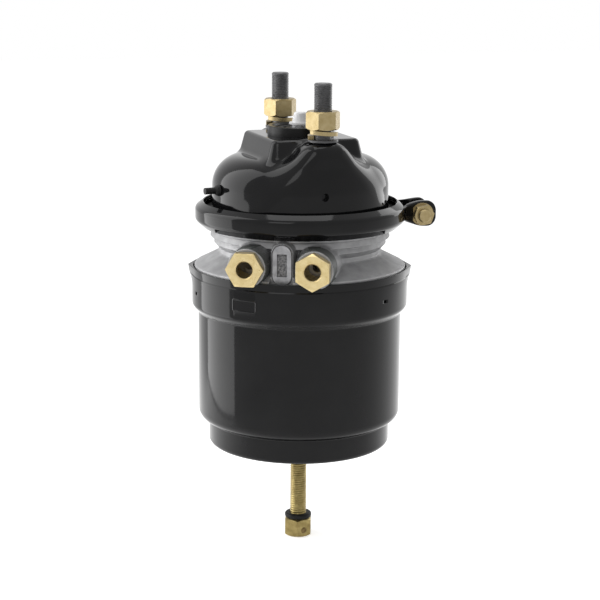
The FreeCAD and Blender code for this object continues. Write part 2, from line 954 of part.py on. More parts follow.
def clamp_bolt_place():
    """The clamp bolt's own Z points along the tangent, towards the near lug."""
    azimuth = math.radians(s.lug_azimuth.value)
    reach = clamp_bolt_reach.value
    centre = Vector(reach * math.sin(azimuth), -reach * math.cos(azimuth), -clamp_bolt_drop.value)
    tangent = Vector(-math.cos(azimuth), -math.sin(azimuth), 0)
    return Placement(centre, Rotation(Vector(0, 0, 1), tangent))


def flanged_hex(body, face, height, bore, side):
    """A hexagon on a round flange; side is 1 above the face and -1 below it."""
    flats = s.clamp_hex
    far = face + height * side
    blank_radius = flats / math.sqrt(3)
    flange = s.clamp_flange_radius
    rise = s.clamp_flange_height * side
    revolve(body, body.Label + "_blank", [
        (bore, face),
        (flange, face),
        (flange, face + rise),
        (blank_radius, face + rise),
        (blank_radius, far - side * s.clamp_chamfer),
        (flats / 2, far),
        (bore, far),
    ])

    def waste(sketch):
        draw_circle(sketch, 0, 0, flange + 1)
        draw_outline(sketch, hexagon(flats))

    extrude(
        body,
        body.Label + "_flats",
        waste,
        height - s.clamp_flange_height + 1,
        cut=True,
        towards=side,
        plane="XY_Plane",
        height=face + rise,
    )


def clamp_fasteners():
    face = s.lug_gap / 2 + s.lug_thickness
    nut = new_body("clamp_nut", clamp_bolt_place())
    flanged_hex(nut, face, s.clamp_nut_height, s.clamp_bolt_radius, 1)
    bolt = new_body("clamp_bolt", clamp_bolt_place())
    flanged_hex(bolt, -face, s.clamp_head_height, ZERO, -1)
    tip = face + s.clamp_nut_height + s.clamp_bolt_tip
    revolve(bolt, "shank", [
        (0, -face - 1),
        (s.clamp_bolt_radius, -face - 1),
        (s.clamp_bolt_radius, tip - s.clamp_chamfer),
        (s.clamp_bolt_radius - s.clamp_chamfer, tip),
        (0, tip),
    ])


def radial_place(azimuth, reach, offset, drop):
    """A place at a reach along an azimuth, its own Z pointing outwards."""
    angle = math.radians(float(azimuth))
    outwards = Vector(math.sin(angle), -math.cos(angle), 0)
    sideways = Vector(math.cos(angle), math.sin(angle), 0)
    centre = outwards * float(reach) + sideways * float(offset) + Vector(0, 0, -float(drop))
    return Placement(centre, Rotation(sideways, Vector(0, 0, 1), outwards, "ZXY"))


def vent_plug():
    body = new_body(
        "vent_plug", radial_place(s.vent_plug_azimuth, housing_radius, 0, s.vent_drop))
    base = s.vent_plug_base_radius
    stem = s.vent_radius - s.rubber_gap
    inner_end = -s.housing_wall - s.vent_plug_barb
    revolve(body, "plug", [
        (0, inner_end),
        (stem, inner_end),
        (stem, s.rubber_gap),
        (base, s.rubber_gap, s.edge_round / 2),
        (base - s.edge_round, s.vent_plug_shoulder, s.edge_round),
        (s.vent_radius, s.vent_plug_neck),
        (s.vent_radius, s.vent_plug_length),
        (0, s.vent_plug_length),
    ])


def draw_oblong(sketch, half_width, half_height):
    """The breather cover's plan: a slot shape, its ends almost half circles."""
    end_round = half_width - s.slot_flat
    draw_outline(sketch, [
        (-half_width, -cover_drop - half_height, end_round),
        (half_width, -cover_drop - half_height, end_round),
        (half_width, half_height - cover_drop, end_round),
        (-half_width, half_height - cover_drop, end_round),
    ])


def intermediate_housing():
    """Die-cast body between the chambers: flange, ribbed waist, wide cone, spigot and ports."""
    body = new_body("intermediate_housing")
    face = bead_bottom
    cone_bottom = -cone_bottom_drop
    spigot = rim_bore - s.fit_clearance
    round_edge = s.cast_round
    revolve(body, "outer_form", [
        (0, face),
        (s.flange_radius, face),
        (s.flange_radius, face - s.cast_flange_height / 2),
        (s.lip_radius, face - 2 * s.cast_flange_height, round_edge),
        (s.lip_radius, -s.lip_bottom_drop, round_edge),
        (s.rib_radius - s.edge_round, -s.lip_bottom_drop - round_edge, s.edge_round),
        (s.rib_radius, -s.rib_bottom_drop, round_edge),
        (s.second_rib_radius - round_edge, -s.rib_bottom_drop - round_edge, s.edge_round),
        (s.second_rib_radius, -s.second_rib_bottom_drop, round_edge),
        (s.waist_radius, -s.waist_top_drop, 2 * round_edge),
        (s.waist_radius, -s.waist_bottom_drop, s.cast_fillet),
        (s.cone_radius, -s.cone_edge_drop, s.edge_round),
        (s.cone_radius, cone_bottom),
        (spigot, cone_bottom),
        (spigot, -s.spigot_bottom_drop),
        (0, -s.spigot_bottom_drop),
    ])
    for name, side in (("service_boss", -1), ("parking_boss", 1)):
        centre = s.port_offset * side
        radius = s.port_boss_radius
        extrude(
            body,
            name,
            lambda sketch: draw_outline(sketch, [
                (centre - radius, cone_bottom, radius / 3),
                (centre + radius, cone_bottom, radius / 3),
                (centre + radius, radius - port_drop, radius - s.slot_flat),
                (centre - radius, radius - port_drop, radius - s.slot_flat),
            ]),
            s.port_face_reach,
            azimuth=s.port_azimuth,
        )

    extrude(
        body,
        "cover_pad",
        lambda sketch: draw_outline(sketch, [
            (-pad_half_width, cone_bottom),
            (pad_half_width, cone_bottom),
            (pad_half_width, -pad_top_drop, pad_half_width - s.slot_flat),
            (-pad_half_width, -pad_top_drop, pad_half_width - s.slot_flat),
        ]),
        s.pad_reach - s.cavity_radius,
        towards=-1,
        azimuth=s.port_azimuth,
        reach=s.pad_reach,
    )
    extrude(
        body,
        "cover_notch",
        lambda sketch: draw_outline(sketch, ring_outline(
            -pad_half_width, pad_half_width, cone_bottom, -cover_drop)),
        s.rim_radius - s.pad_reach,
        cut=True,
        azimuth=s.port_azimuth,
        reach=s.pad_reach,
    )
    extrude(
        body,
        "cover_seat",
        lambda sketch: draw_oblong(
            sketch, s.cover_half_width + s.fit_clearance, s.cover_half_height + s.fit_clearance),
        s.cover_seat,
        cut=True,
        towards=-1,
        azimuth=s.port_azimuth,
        reach=s.pad_reach,
    )
    extrude(
        body,
        "filter_pocket",
        lambda sketch: draw_outline(sketch, ring_outline(
            -s.window_half_width - s.filter_rim, s.window_half_width + s.filter_rim,
            -cover_drop - s.window_half_height - s.filter_rim,
            s.window_half_height + s.filter_rim - cover_drop)),
        s.cover_seat + s.filter_thickness + s.fit_clearance,
        cut=True,
        towards=-1,
        azimuth=s.port_azimuth,
        reach=s.pad_reach,
    )
    revolve(body, "bowl", [
        (0, face + 1),
        (s.bowl_radius, face + 1),
        (s.bowl_radius, face),
        (s.bowl_floor_radius, bowl_floor, 2 * round_edge),
        (0, bowl_floor),
    ], cut=True)
    revolve(body, "spring_side", [
        (0, -s.spigot_bottom_drop - 1),
        (s.skirt_bore_radius, -s.spigot_bottom_drop - 1),
        (s.skirt_bore_radius, -s.cavity_cone_bottom_drop, s.cavity_fillet),
        (s.cavity_radius, -s.cavity_cone_top_drop, s.cavity_fillet),
        (s.cavity_radius, web_bottom, s.cast_fillet),
        (s.hub_radius, web_bottom, s.cast_fillet),
        (s.hub_radius, -s.hub_bottom_drop),
        (0, -s.hub_bottom_drop),
    ], cut=True)
    revolve(body, "hub_bore", [
        (0, bowl_floor + 1),
        (s.tube_radius + 1, bowl_floor + 1),
        (s.tube_radius + 1, bowl_floor - s.tube_seal_height / 2),
        (hub_bore, bowl_floor - s.tube_seal_height / 2),
        (hub_bore, -s.hub_bottom_drop - 1),
        (0, -s.hub_bottom_drop - 1),
    ], cut=True)
    revolve(body, "seal_groove", ring_outline(
        spigot - s.flange_seal_depth, spigot + 1,
        -s.flange_seal_drop - s.flange_seal_section, -s.flange_seal_drop), cut=True)
    revolve(body, "lock_groove", ring_outline(
        spigot - s.lock_ring_depth, spigot + 1,
        -s.window_drop - s.lock_ring_height / 2 - s.fit_clearance,
        s.lock_ring_height / 2 + s.fit_clearance - s.window_drop), cut=True)
    for name, side in (("service_bore", -1), ("parking_bore", 1)):
        centre = s.port_offset * side
        shank = s.port_shank_length + 2
        extrude(
            body,
            name,
            lambda sketch: draw_circle(sketch, centre, -port_drop, s.port_shank_radius),
            shank,
            cut=True,
            towards=-1,
            azimuth=s.port_azimuth,
            reach=s.port_face_reach,
        )
        depth = s.port_face_reach - (s.service_feed_end if side < 0 else s.hub_radius)
        extrude(
            body,
            name + "_feed",
            lambda sketch: draw_circle(sketch, centre, -port_drop, s.drilling_radius),
            depth,
            cut=True,
            towards=-1,
            azimuth=s.port_azimuth,
            reach=s.port_face_reach,
        )
    angle = math.radians(s.port_azimuth.value)
    riser_reach = s.service_feed_end + s.drilling_radius
    riser_x = riser_reach * math.sin(angle) - s.port_offset * math.cos(angle)
    riser_y = -riser_reach * math.cos(angle) - s.port_offset * math.sin(angle)
    extrude(
        body,
        "service_riser",
        lambda sketch: draw_circle(sketch, riser_x, riser_y, s.riser_radius),
        port_drop - s.housing_flange_drop,
        cut=True,
        plane="XY_Plane",
        height=-port_drop,
    )
    return body


def port_fitting(label, side, turn):
    """Hexagon screwed into the boss, with a countersunk thread bore through it."""
    place = radial_place(
        s.port_azimuth, s.port_face_reach + s.port_seal_height, s.port_offset * side, port_drop)
    body = new_body(label, place)
    low = ZERO
    high = s.port_hex_height
    hex_body(body, s.port_hex, low, high, s.port_hex_chamfer, s.port_thread_radius, turn)
    revolve(body, "shank", ring_outline(
        s.port_thread_radius, s.port_shank_radius - s.fit_clearance,
        -s.port_shank_length - s.port_seal_height, low))
    revolve(body, "countersink", [
        (0, high + 1),
        (s.port_thread_radius + s.port_countersink + 1, high + 1),
        (s.port_thread_radius, high - s.port_countersink),
        (0, high - s.port_countersink),
    ], cut=True)


def port_seals():
    """A sealing washer under each port hexagon."""
    place = radial_place(s.port_azimuth, s.port_face_reach, -s.port_offset, port_drop)
    body = new_body("port_seals", place)
    ring = revolve(body, "washer", ring_outline(
        s.port_shank_radius + s.fit_clearance, s.port_seal_radius, 0, s.port_seal_height))
    pattern = body.newObject("PartDesign::LinearPattern", "washer_pair")
    pattern.Originals = [ring]
    pattern.Direction = (origin_feature(body, "X_Axis"), [""])
    bind(pattern, "Length", 2 * s.port_offset)
    pattern.Occurrences = 2
    body.Tip = pattern
    doc.recompute()


def breather():
    """Oblong cover in its seat on the casting, with a filter behind its window."""
    floor = s.pad_reach - s.cover_seat + s.seat_gap

    def window(sketch):
        draw_outline(sketch, ring_outline(
            -s.window_half_width, s.window_half_width,
            -cover_drop - s.window_half_height, s.window_half_height - cover_drop))

    cover = new_body("breather_cover")
    thickness = s.cover_seat + s.cover_proud - s.seat_gap
    extrude(
        cover,
        "plate",
        lambda sketch: draw_oblong(sketch, s.cover_half_width, s.cover_half_height),
        thickness,
        azimuth=s.port_azimuth,
        reach=floor,
    )
    extrude(
        cover, "window", window, thickness, cut=True, towards=1, azimuth=s.port_azimuth, reach=floor)
    foam = new_body("breather_filter")
    inset = s.filter_rim - s.fit_clearance
    extrude(
        foam,
        "block",
        lambda sketch: draw_outline(sketch, ring_outline(
            -s.window_half_width - inset, s.window_half_width + inset,
            -cover_drop - s.window_half_height - inset,
            s.window_half_height + inset - cover_drop)),
        s.filter_thickness,
        towards=-1,
        azimuth=s.port_azimuth,
        reach=floor - s.seat_gap,
    )


def flange_seal():
    body = new_body("flange_seal")
    outer = rim_bore - s.seal_clearance
    low = s.fit_clearance - s.flange_seal_drop - s.flange_seal_section
    revolve(body, "ring", [
        (outer - s.flange_seal_depth, low, s.edge_round),
        (outer, low, s.edge_round),
        (outer, -s.flange_seal_drop - s.fit_clearance, s.edge_round),
        (outer - s.flange_seal_depth, -s.flange_seal_drop - s.fit_clearance, s.edge_round),
    ])


def lock_ring():
    """Spring steel ring in the spigot's groove; it shows through the rim's windows."""
    body = new_body("lock_ring")
    spigot = rim_bore - s.fit_clearance
    half = s.lock_ring_height / 2
    revolve(body, "ring", ring_outline(
        spigot - s.lock_ring_depth + s.slot_flat, rim_bore, -s.window_drop - half, half - s.window_drop))
    extrude(
        body,
        "gap",
        lambda sketch: draw_outline(sketch, ring_outline(
            -s.window_width, s.window_width,
            -s.window_drop - 2 * half, 2 * half - s.window_drop)),
        s.rim_radius,
        cut=True,
        azimuth=180,
    )


def spring_housing():
    """Deep drawn can: a wide rim for the casting, the main barrel and a smaller end."""
    body = new_body("spring_housing")
    wall = s.can_wall
    hole = s.release_bush_radius + s.fit_clearance
    rim_foot = -s.rim_bottom_drop
    revolve(body, "shell", [
        (rim_bore, -s.rim_top_drop),
        (s.rim_radius, -s.rim_top_drop, s.rim_edge_round),
        (s.rim_radius, rim_foot, s.rim_foot_round),
        (s.can_radius, rim_foot - s.rim_foot_round, s.rim_foot_round / 2),
        (s.can_radius, -s.can_bottom_drop, s.can_round),
        (s.base_radius, -s.can_bottom_drop, s.base_fillet),
        (s.base_radius, -s.base_drop, s.base_round),
        (hole, -s.base_drop),
        (hole, base_top),
        (s.base_radius - wall, base_top, s.base_round - wall),
        (s.base_radius - wall, wall - s.can_bottom_drop, s.base_fillet + wall),
        (can_bore, wall - s.can_bottom_drop, s.can_round - wall),
        (can_bore, rim_foot - s.rim_foot_round + wall, s.rim_foot_round / 2),
        (rim_bore, rim_foot + wall),
    ])
    window = extrude(
        body,
        "lock_window",
        lambda sketch: draw_outline(sketch, ring_outline(
            -s.window_width / 2, s.window_width / 2,
            -s.window_drop - s.window_height / 2, s.window_height / 2 - s.window_drop)),
        s.rim_radius + 1,
        cut=True,
        azimuth=s.window_azimuth,
    )
    step = s.window_step
    repeat_around_z(body, [window], step * (WINDOW_COUNT - 1), WINDOW_COUNT)
    ear_top = -s.rim_top_drop
    ear = extrude(
        body,
        "ear",
        lambda sketch: draw_outline(sketch, [
            (rim_bore + wall / 2, ear_top - s.ear_height),
            (s.ear_reach, ear_top - s.ear_height / 2),
            (s.ear_reach, ear_top - s.edge_round),
            (s.rim_radius, ear_top),
            (rim_bore + wall / 2, ear_top - s.edge_round),
        ]),
        s.ear_width,
        both=True,
        azimuth=s.ear_azimuth - 90,
    )
    pattern = body.newObject("PartDesign::PolarPattern", "ear_pair")
    pattern.Originals = [ear]
    pattern.Axis = (origin_feature(body, "Z_Axis"), [""])
    pattern.Angle = 360
    pattern.Occurrences = 2
    body.Tip = pattern
    doc.recompute()


def spring_piston():
    """Cast piston: a raised crown over the spring, a grooved ring and a hub for the tube."""
    body = new_body("spring_piston")
    outer = can_bore - s.piston_clearance
    ring_top = -piston_ring_drop
    ring_bottom = ring_top - s.piston_skirt
    well = s.spring_radius + s.spring_wire_radius + s.piston_well_clearance
    seat_radius = s.spindle_radius + s.spindle_hole_clearance
    revolve(body, "casting", [
        (seat_radius, -piston_hub_drop),
        (s.piston_hub_radius, -piston_hub_drop, s.cast_round),
        (s.piston_hub_radius + s.piston_hub_fillet, crown_bottom, s.piston_hub_fillet),
        (well, crown_bottom, s.piston_wall),
        (well, ring_bottom),
        (outer, ring_bottom),
        (outer, ring_top, s.cast_round),
        (well + s.piston_wall, ring_top, s.piston_wall / 2),
        (well + s.piston_wall, crown_top, 2 * s.piston_wall),
        (s.tube_radius, crown_top),
        (s.tube_radius, -piston_tube_seat_drop),
        (seat_radius, -piston_tube_seat_drop),
    ])
    groove = outer - s.groove_depth
    seal_top = ring_top - s.piston_land
    seal_bottom = seal_top - s.piston_seal_height - 2 * s.fit_clearance
    guide_top = seal_bottom - s.piston_land
    guide_bottom = guide_top - s.guide_ring_height - 2 * s.fit_clearance
    revolve(body, "seal_groove", ring_outline(groove, outer + 1, seal_bottom, seal_top), cut=True)
    revolve(body, "guide_groove", ring_outline(groove, outer + 1, guide_bottom, guide_top), cut=True)
    bore = can_bore - s.seal_clearance
    seal = new_body("piston_seal")
    revolve(seal, "lip_seal", [
        (groove + s.fit_clearance, seal_bottom + s.fit_clearance),
        (bore - s.seal_lip, seal_bottom + s.fit_clearance),
        (bore, seal_top - s.fit_clearance - s.seal_lip),
        (bore, seal_top - s.fit_clearance),
        (groove + s.fit_clearance, seal_top - s.fit_clearance),
    ])
    guide = new_body("piston_guide_ring")
    revolve(guide, "ring", ring_outline(
        groove + s.fit_clearance, bore, guide_bottom + s.fit_clearance, guide_top - s.fit_clearance))


def piston_tube():
    """Tube pressed into the piston's hub, its floor carrying the release bolt's thrust."""
    body = new_body("piston_tube")
    bottom = -piston_tube_seat_drop
    top = -s.tube_top_drop
    seat_radius = s.spindle_radius + s.spindle_hole_clearance
    revolve(body, "tube", [
        (seat_radius, bottom),
        (s.tube_radius, bottom),
        (s.tube_radius, top, s.edge_round),
        (s.tube_bore_radius, top),
        (s.tube_bore_radius, bottom + s.tube_floor),
        (seat_radius, bottom + s.tube_floor),
    ])
    pad = new_body("tube_end_pad")
    revolve(pad, "pad", [
        (0, top - s.pad_cap_height),
        (s.tube_bore_radius - s.fit_clearance, top - s.pad_cap_height),
        (s.tube_bore_radius - s.fit_clearance, top),
        (s.pad_cap_radius, top),
        (s.pad_cap_radius, top + s.pad_cap_height, s.cast_round),
        (0, top + s.pad_cap_height),
    ])


def hub_parts():
    """What fills the casting's hub round the tube: a seal above a guide bush."""
    top = bowl_floor - s.tube_seal_height / 2 - s.fit_clearance
    seal = new_body("tube_seal")
    outer = hub_bore - s.fit_clearance
    revolve(seal, "ring", [
        (tube_guide_radius, top - s.tube_seal_height),
        (outer, top - s.tube_seal_height),
        (outer, top),
        (tube_guide_radius + s.seal_lip, top),
        (tube_guide_radius, top - s.seal_lip),
    ])
    bush = new_body("tube_guide_bush")
    bush_top = top - s.tube_seal_height - s.fit_clearance
    revolve(bush, "bush", ring_outline(
        tube_guide_radius, outer, bush_top - s.bush_height, bush_top))


def power_spring():
    wire = s.spring_wire_radius
    low = spring_floor + wire + s.coil_end_gap
    high = crown_bottom - wire - s.coil_end_gap
    coil_spring("power_spring", s.spring_radius, wire, low, high - low, s.spring_coils)


def base_parts():
    """The spring's seat and the threaded bush in the middle of the can's base."""
    seat = new_body("spring_seat")
    revolve(seat, "ring", [
        (s.spring_seat_bore, base_top),
        (s.spring_seat_radius, base_top),
        (s.spring_seat_radius, spring_floor),
        (s.spring_seat_bore, spring_floor),
    ])
    bush = new_body("release_bush")
    bore = s.spindle_radius + s.spindle_clearance
    flange_high = base_top + s.release_bush_flange
    revolve(bush, "bush", [
        (bore, -s.base_drop - s.release_bush_proud),
        (s.release_bush_radius, -s.base_drop - s.release_bush_proud, s.edge_round / 2),
        (s.release_bush_radius, base_top),
        (s.release_bush_flange_radius, base_top),
        (s.release_bush_flange_radius, flange_high),
        (s.release_bush_radius, flange_high),
        (s.release_bush_radius, base_top + s.release_bush_height),
        (bore, base_top + s.release_bush_height),
    ])


def release_bolt():
    """Release spindle with its head in the tube and a pinned hexagon nut outside."""
    body = new_body("release_spindle")
    head_low = s.tube_floor + s.thrust_washer_height - piston_tube_seat_drop
    head_high = head_low + s.bolt_head_height
    nut_top = -s.release_nut_top_drop
    nut_bottom = nut_top - s.release_nut_height
    revolve(body, "spindle", [
        (0, nut_bottom + s.edge_round),
        (s.release_nut_bore, nut_bottom + s.edge_round),
        (s.release_nut_bore, nut_top),
        (s.spindle_radius, nut_top),
        (s.spindle_radius, head_low),
        (s.bolt_head_radius, head_low),
        (s.bolt_head_radius, head_high, s.edge_round),
        (0, head_high),
    ])
    pin_drop = s.release_nut_top_drop + s.release_pin_level
    extrude(
        body,
        "pin_hole",
        lambda sketch: draw_circle(sketch, 0, -pin_drop, s.release_pin_radius),
        s.release_nut_hex * 2,
        cut=True,
        both=True,
        azimuth=PIN_AZIMUTH,
    )
    nut = new_body("release_nut")
    hex_body(
        nut,
        s.release_nut_hex,
        nut_bottom,
        nut_top,
        s.release_nut_chamfer,
        s.release_nut_bore,
        30 + PIN_AZIMUTH,
    )
    extrude(
        nut,
        "pin_hole",
        lambda sketch: draw_circle(sketch, 0, -pin_drop, s.release_pin_radius),
        s.release_nut_hex * 2,
        cut=True,
        both=True,
        azimuth=PIN_AZIMUTH,
    )
    pin = new_body("release_pin")
    extrude(
        pin,
        "pin",
        lambda sketch: draw_circle(sketch, 0, -pin_drop, s.release_pin_radius),
        s.release_nut_hex + 2 * s.release_pin_proud,
        both=True,
        azimuth=PIN_AZIMUTH,
    )
    ring = new_body("release_seal_ring")
    ring_outer = s.spindle_radius + 2 * s.release_ring_section
    ring_top = nut_top + 2 * s.release_ring_section
    revolve(ring, "ring", [
        (s.spindle_radius, nut_top, s.edge_round),
        (ring_outer, nut_top, s.release_ring_round),
        (ring_outer, ring_top, s.release_ring_round),
        (s.spindle_radius, ring_top, s.edge_round),
    ])
    washer = new_body("thrust_washer")
    floor = s.tube_floor - piston_tube_seat_drop
    revolve(washer, "washer", ring_outline(
        s.spindle_radius + s.fit_clearance, s.bolt_head_radius + s.thrust_washer_rim,
        floor, floor + s.thrust_washer_height))


def build_all():
    service_housing()
    mounting_studs()
    stud_nuts()
    spring_washers()
    seal_ring()
    push_rod_boot()
    boot_retainer()
    push_rod()
    push_rod_cap()
    push_plate()
    return_spring()
    service_diaphragm()
    clamp_band()
    clamp_fasteners()
    vent_plug()
    intermediate_housing()
    port_fitting("service_port_fitting", -1, 0)
    port_fitting("parking_port_fitting", 1, PARKING_HEX_TURN)
    port_seals()
    breather()
    flange_seal()
    lock_ring()
    spring_housing()
    spring_piston()
    piston_tube()
    hub_parts()
    power_spring()
    base_parts()
    release_bolt()


def failed_objects():
    """Every object that did not recompute, and every piece without a valid solid."""
    problems = []
    for item in doc.Objects:
        if "Invalid" in item.State or "Error" in item.State:
            problems.append(f"{item.Name}: {item.State}")
    for body in BODIES:
        if body.Shape.isNull() or not body.Shape.isValid() or not body.Shape.Solids:
            problems.append(f"{body.Label}: no valid solid")
    return problems


build_all()
doc.recompute()
problems = failed_objects()
if problems:
    raise RuntimeError("; ".join(problems))
os.makedirs("parts", exist_ok=True)
for body in BODIES:
    body.Shape.exportStep(os.path.join("parts", body.Label + ".step"))
    box = body.Shape.BoundBox
    print(f"{body.Label}: {len(body.Shape.Solids)} solid(s), {body.Shape.Volume:.0f} mm3, "
          f"z {box.ZMin:.1f} to {box.ZMax:.1f}")
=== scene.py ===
import math

import bmesh
import bpy
import numpy as np
from mathutils import Matrix, Vector

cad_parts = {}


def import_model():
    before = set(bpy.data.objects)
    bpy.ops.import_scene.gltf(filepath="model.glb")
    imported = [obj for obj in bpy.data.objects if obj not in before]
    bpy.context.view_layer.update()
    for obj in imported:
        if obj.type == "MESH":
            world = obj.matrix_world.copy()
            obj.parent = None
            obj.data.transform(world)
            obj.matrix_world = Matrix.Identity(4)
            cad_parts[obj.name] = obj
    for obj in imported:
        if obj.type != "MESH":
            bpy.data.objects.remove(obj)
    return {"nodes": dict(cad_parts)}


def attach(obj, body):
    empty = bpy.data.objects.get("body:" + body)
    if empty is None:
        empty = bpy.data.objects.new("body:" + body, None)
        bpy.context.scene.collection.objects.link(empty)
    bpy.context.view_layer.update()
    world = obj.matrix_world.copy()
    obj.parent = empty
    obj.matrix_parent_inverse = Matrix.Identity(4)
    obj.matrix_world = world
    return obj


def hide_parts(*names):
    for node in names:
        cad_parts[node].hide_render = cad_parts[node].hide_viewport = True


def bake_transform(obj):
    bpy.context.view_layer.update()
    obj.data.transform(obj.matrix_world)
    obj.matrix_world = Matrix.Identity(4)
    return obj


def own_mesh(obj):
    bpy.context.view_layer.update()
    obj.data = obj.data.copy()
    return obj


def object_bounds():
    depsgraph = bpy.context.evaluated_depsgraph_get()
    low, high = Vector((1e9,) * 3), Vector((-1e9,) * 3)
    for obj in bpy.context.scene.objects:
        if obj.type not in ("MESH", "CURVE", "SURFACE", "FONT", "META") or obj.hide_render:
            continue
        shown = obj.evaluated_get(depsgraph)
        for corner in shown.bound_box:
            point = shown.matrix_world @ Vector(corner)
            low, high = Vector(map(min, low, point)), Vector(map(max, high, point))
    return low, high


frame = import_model()
cad_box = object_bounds()
NODES = frame["nodes"]
MM = 0.001


# Materials. Each is procedural: patches of two colours, uneven roughness and a fine grain.

PATCH_SPREAD = (0.35, 0.65)
GRAIN_SPREAD = (0.3, 0.7)


class Graph:
    """A short way to write a material's nodes."""

    def __init__(self, name):
        self.material = bpy.data.materials.new(name)
        self.material.use_nodes = True
        self.tree = self.material.node_tree
        self.shader = self.tree.nodes["Principled BSDF"]
        coordinates = self.tree.nodes.new("ShaderNodeTexCoord")
        self.place = coordinates.outputs["Object"]

    def node(self, kind, inputs, **settings):
        made = self.tree.nodes.new("ShaderNode" + kind)
        for key, value in settings.items():
            setattr(made, key, value)
        for key, value in inputs.items():
            if isinstance(value, bpy.types.NodeSocket):
                self.tree.links.new(value, made.inputs[key])
            else:
                made.inputs[key].default_value = value
        return made

    def noise(self, scale, detail=3.0, rough=0.5, stretch=None):
        place = self.place
        if stretch:
            place = self.node("Mapping", {"Vector": place, "Scale": stretch}).outputs["Vector"]
        return self.node("TexNoise", {
            "Vector": place, "Scale": scale, "Detail": detail, "Roughness": rough,
        }).outputs["Fac"]

    def remap(self, value, spread, to_low, to_high):
        return self.node("MapRange", {
            "Value": value, "From Min": spread[0], "From Max": spread[1],
            "To Min": to_low, "To Max": to_high,
        }).outputs["Result"]

    def blend(self, factor, a, b):
        """A mix of two plain colours."""
        inputs = {0: factor, 6: (*a, 1), 7: (*b, 1)}
        return self.node("Mix", inputs, data_type="RGBA").outputs[2]

    def link(self, output, socket):
        self.tree.links.new(output, self.shader.inputs[socket])

    def bump(self, height, millimetres, below=None):
        inputs = {"Height": height, "Strength": 1.0, "Distance": millimetres * MM}
        if below is not None:
            inputs["Normal"] = below
        return self.node("Bump", inputs).outputs["Normal"]


def finish_material(name, light, dark, rough, *, patch, grain, grain_height,
                    metallic=0.0, specular=0.5, dents=None, stretch=None):
    """A mottled finish.

    patch and grain are noise scales, grain_height is in millimetres, dents is the scale and
    the height of a wider bump, and stretch draws the grain out along an axis."""
    g = Graph(name)
    tone = g.remap(g.noise(patch, 5.0, 0.6), PATCH_SPREAD, 0.0, 1.0)
    g.link(g.blend(tone, dark, light), "Base Color")
    fine = g.noise(grain, 2.0, 0.6, stretch)
    g.link(g.remap(fine, GRAIN_SPREAD, *rough), "Roughness")
    normal = g.bump(fine, grain_height)
    if dents:
        scale, height = dents
        normal = g.bump(g.noise(scale, 2.0), height, normal)
    g.link(normal, "Normal")
    g.shader.inputs["Metallic"].default_value = metallic
    g.shader.inputs["Specular IOR Level"].default_value = specular
    return g.material


BLACK_PAINT = finish_material(
    "black_paint", (0.0075, 0.0075, 0.008), (0.0045, 0.0045, 0.005), (0.06, 0.10),
    specular=0.17, patch=25, grain=420, grain_height=0.004, dents=(70, 0.02))
CAST = finish_material(
    "cast_aluminium", (0.35, 0.35, 0.355), (0.26, 0.26, 0.265), (0.42, 0.58),
    metallic=0.35, patch=90, grain=1500, grain_height=0.05, dents=(160, 0.06))
# Painted shade: a darker copy of the cast material for the side walls of the port bosses.
CAST_PAINTED_SHADE = finish_material(
    "cast_painted_shade", (0.085, 0.09, 0.086), (0.045, 0.048, 0.045), (0.40, 0.6),
    metallic=0.3, patch=90, grain=1500, grain_height=0.05, dents=(160, 0.05))
ZINC = finish_material(
    "yellow_zinc", (0.35, 0.28, 0.15), (0.28, 0.215, 0.10), (0.30, 0.44),
    metallic=0.85, patch=180, grain=1400, grain_height=0.01, dents=(260, 0.02))
PORT_ZINC = finish_material(
    "port_zinc", (0.66, 0.54, 0.29), (0.56, 0.44, 0.21), (0.24, 0.38),
    metallic=0.85, patch=180, grain=1400, grain_height=0.01, dents=(260, 0.02))
ZINC_GREEN = finish_material(
    "olive_zinc", (0.36, 0.285, 0.115), (0.22, 0.165, 0.06), (0.28, 0.42),
    metallic=0.85, patch=140, grain=1200, grain_height=0.012, dents=(240, 0.03))
DARK_STEEL = finish_material(
    "phosphated_steel", (0.085, 0.085, 0.088), (0.050, 0.050, 0.052), (0.34, 0.46),
    metallic=0.35, patch=120, grain=900, grain_height=0.012, stretch=(1, 1, 6))
BARE_STEEL = finish_material(
    "bright_steel", (0.62, 0.62, 0.63), (0.50, 0.50, 0.51), (0.22, 0.36),
    metallic=1.0, patch=150, grain=1100, grain_height=0.01, stretch=(1, 1, 8))
SPRING_STEEL = finish_material(
    "coated_spring", (0.09, 0.09, 0.095), (0.05, 0.05, 0.055), (0.3, 0.5),
    metallic=0.3, patch=80, grain=900, grain_height=0.02)
RUBBER = finish_material(
    "black_rubber", (0.014, 0.014, 0.014), (0.008, 0.008, 0.008), (0.42, 0.6),
    specular=0.16, patch=120, grain=1300, grain_height=0.03)
RING_RUBBER = finish_material(
    "ring_rubber", (0.010, 0.010, 0.010), (0.006, 0.006, 0.006), (0.28, 0.38),
    specular=0.14, patch=120, grain=1200, grain_height=0.02)
PALE_PLASTIC = finish_material(
    "pale_plastic", (0.66, 0.66, 0.665), (0.58, 0.58, 0.585), (0.38, 0.52),
    patch=150, grain=1500, grain_height=0.02)
GREY_PLASTIC = finish_material(
    "grey_plastic", (0.20, 0.20, 0.205), (0.14, 0.14, 0.145), (0.42, 0.58),
    patch=150, grain=1500, grain_height=0.03)
FOAM = finish_material(
    "filter_foam", (0.34, 0.34, 0.35), (0.06, 0.06, 0.065), (0.7, 0.9),
    patch=700, grain=900, grain_height=0.4)
COVER = finish_material(
    "cover_alloy", (0.36, 0.36, 0.37), (0.24, 0.24, 0.25), (0.30, 0.48),
    metallic=0.7, patch=160, grain=1500, grain_height=0.03, dents=(300, 0.04))
PIN_STEEL = finish_material(
    "pin_steel", (0.20, 0.14, 0.055), (0.12, 0.08, 0.03), (0.28, 0.42),
    metallic=0.8, patch=200, grain=1200, grain_height=0.012)

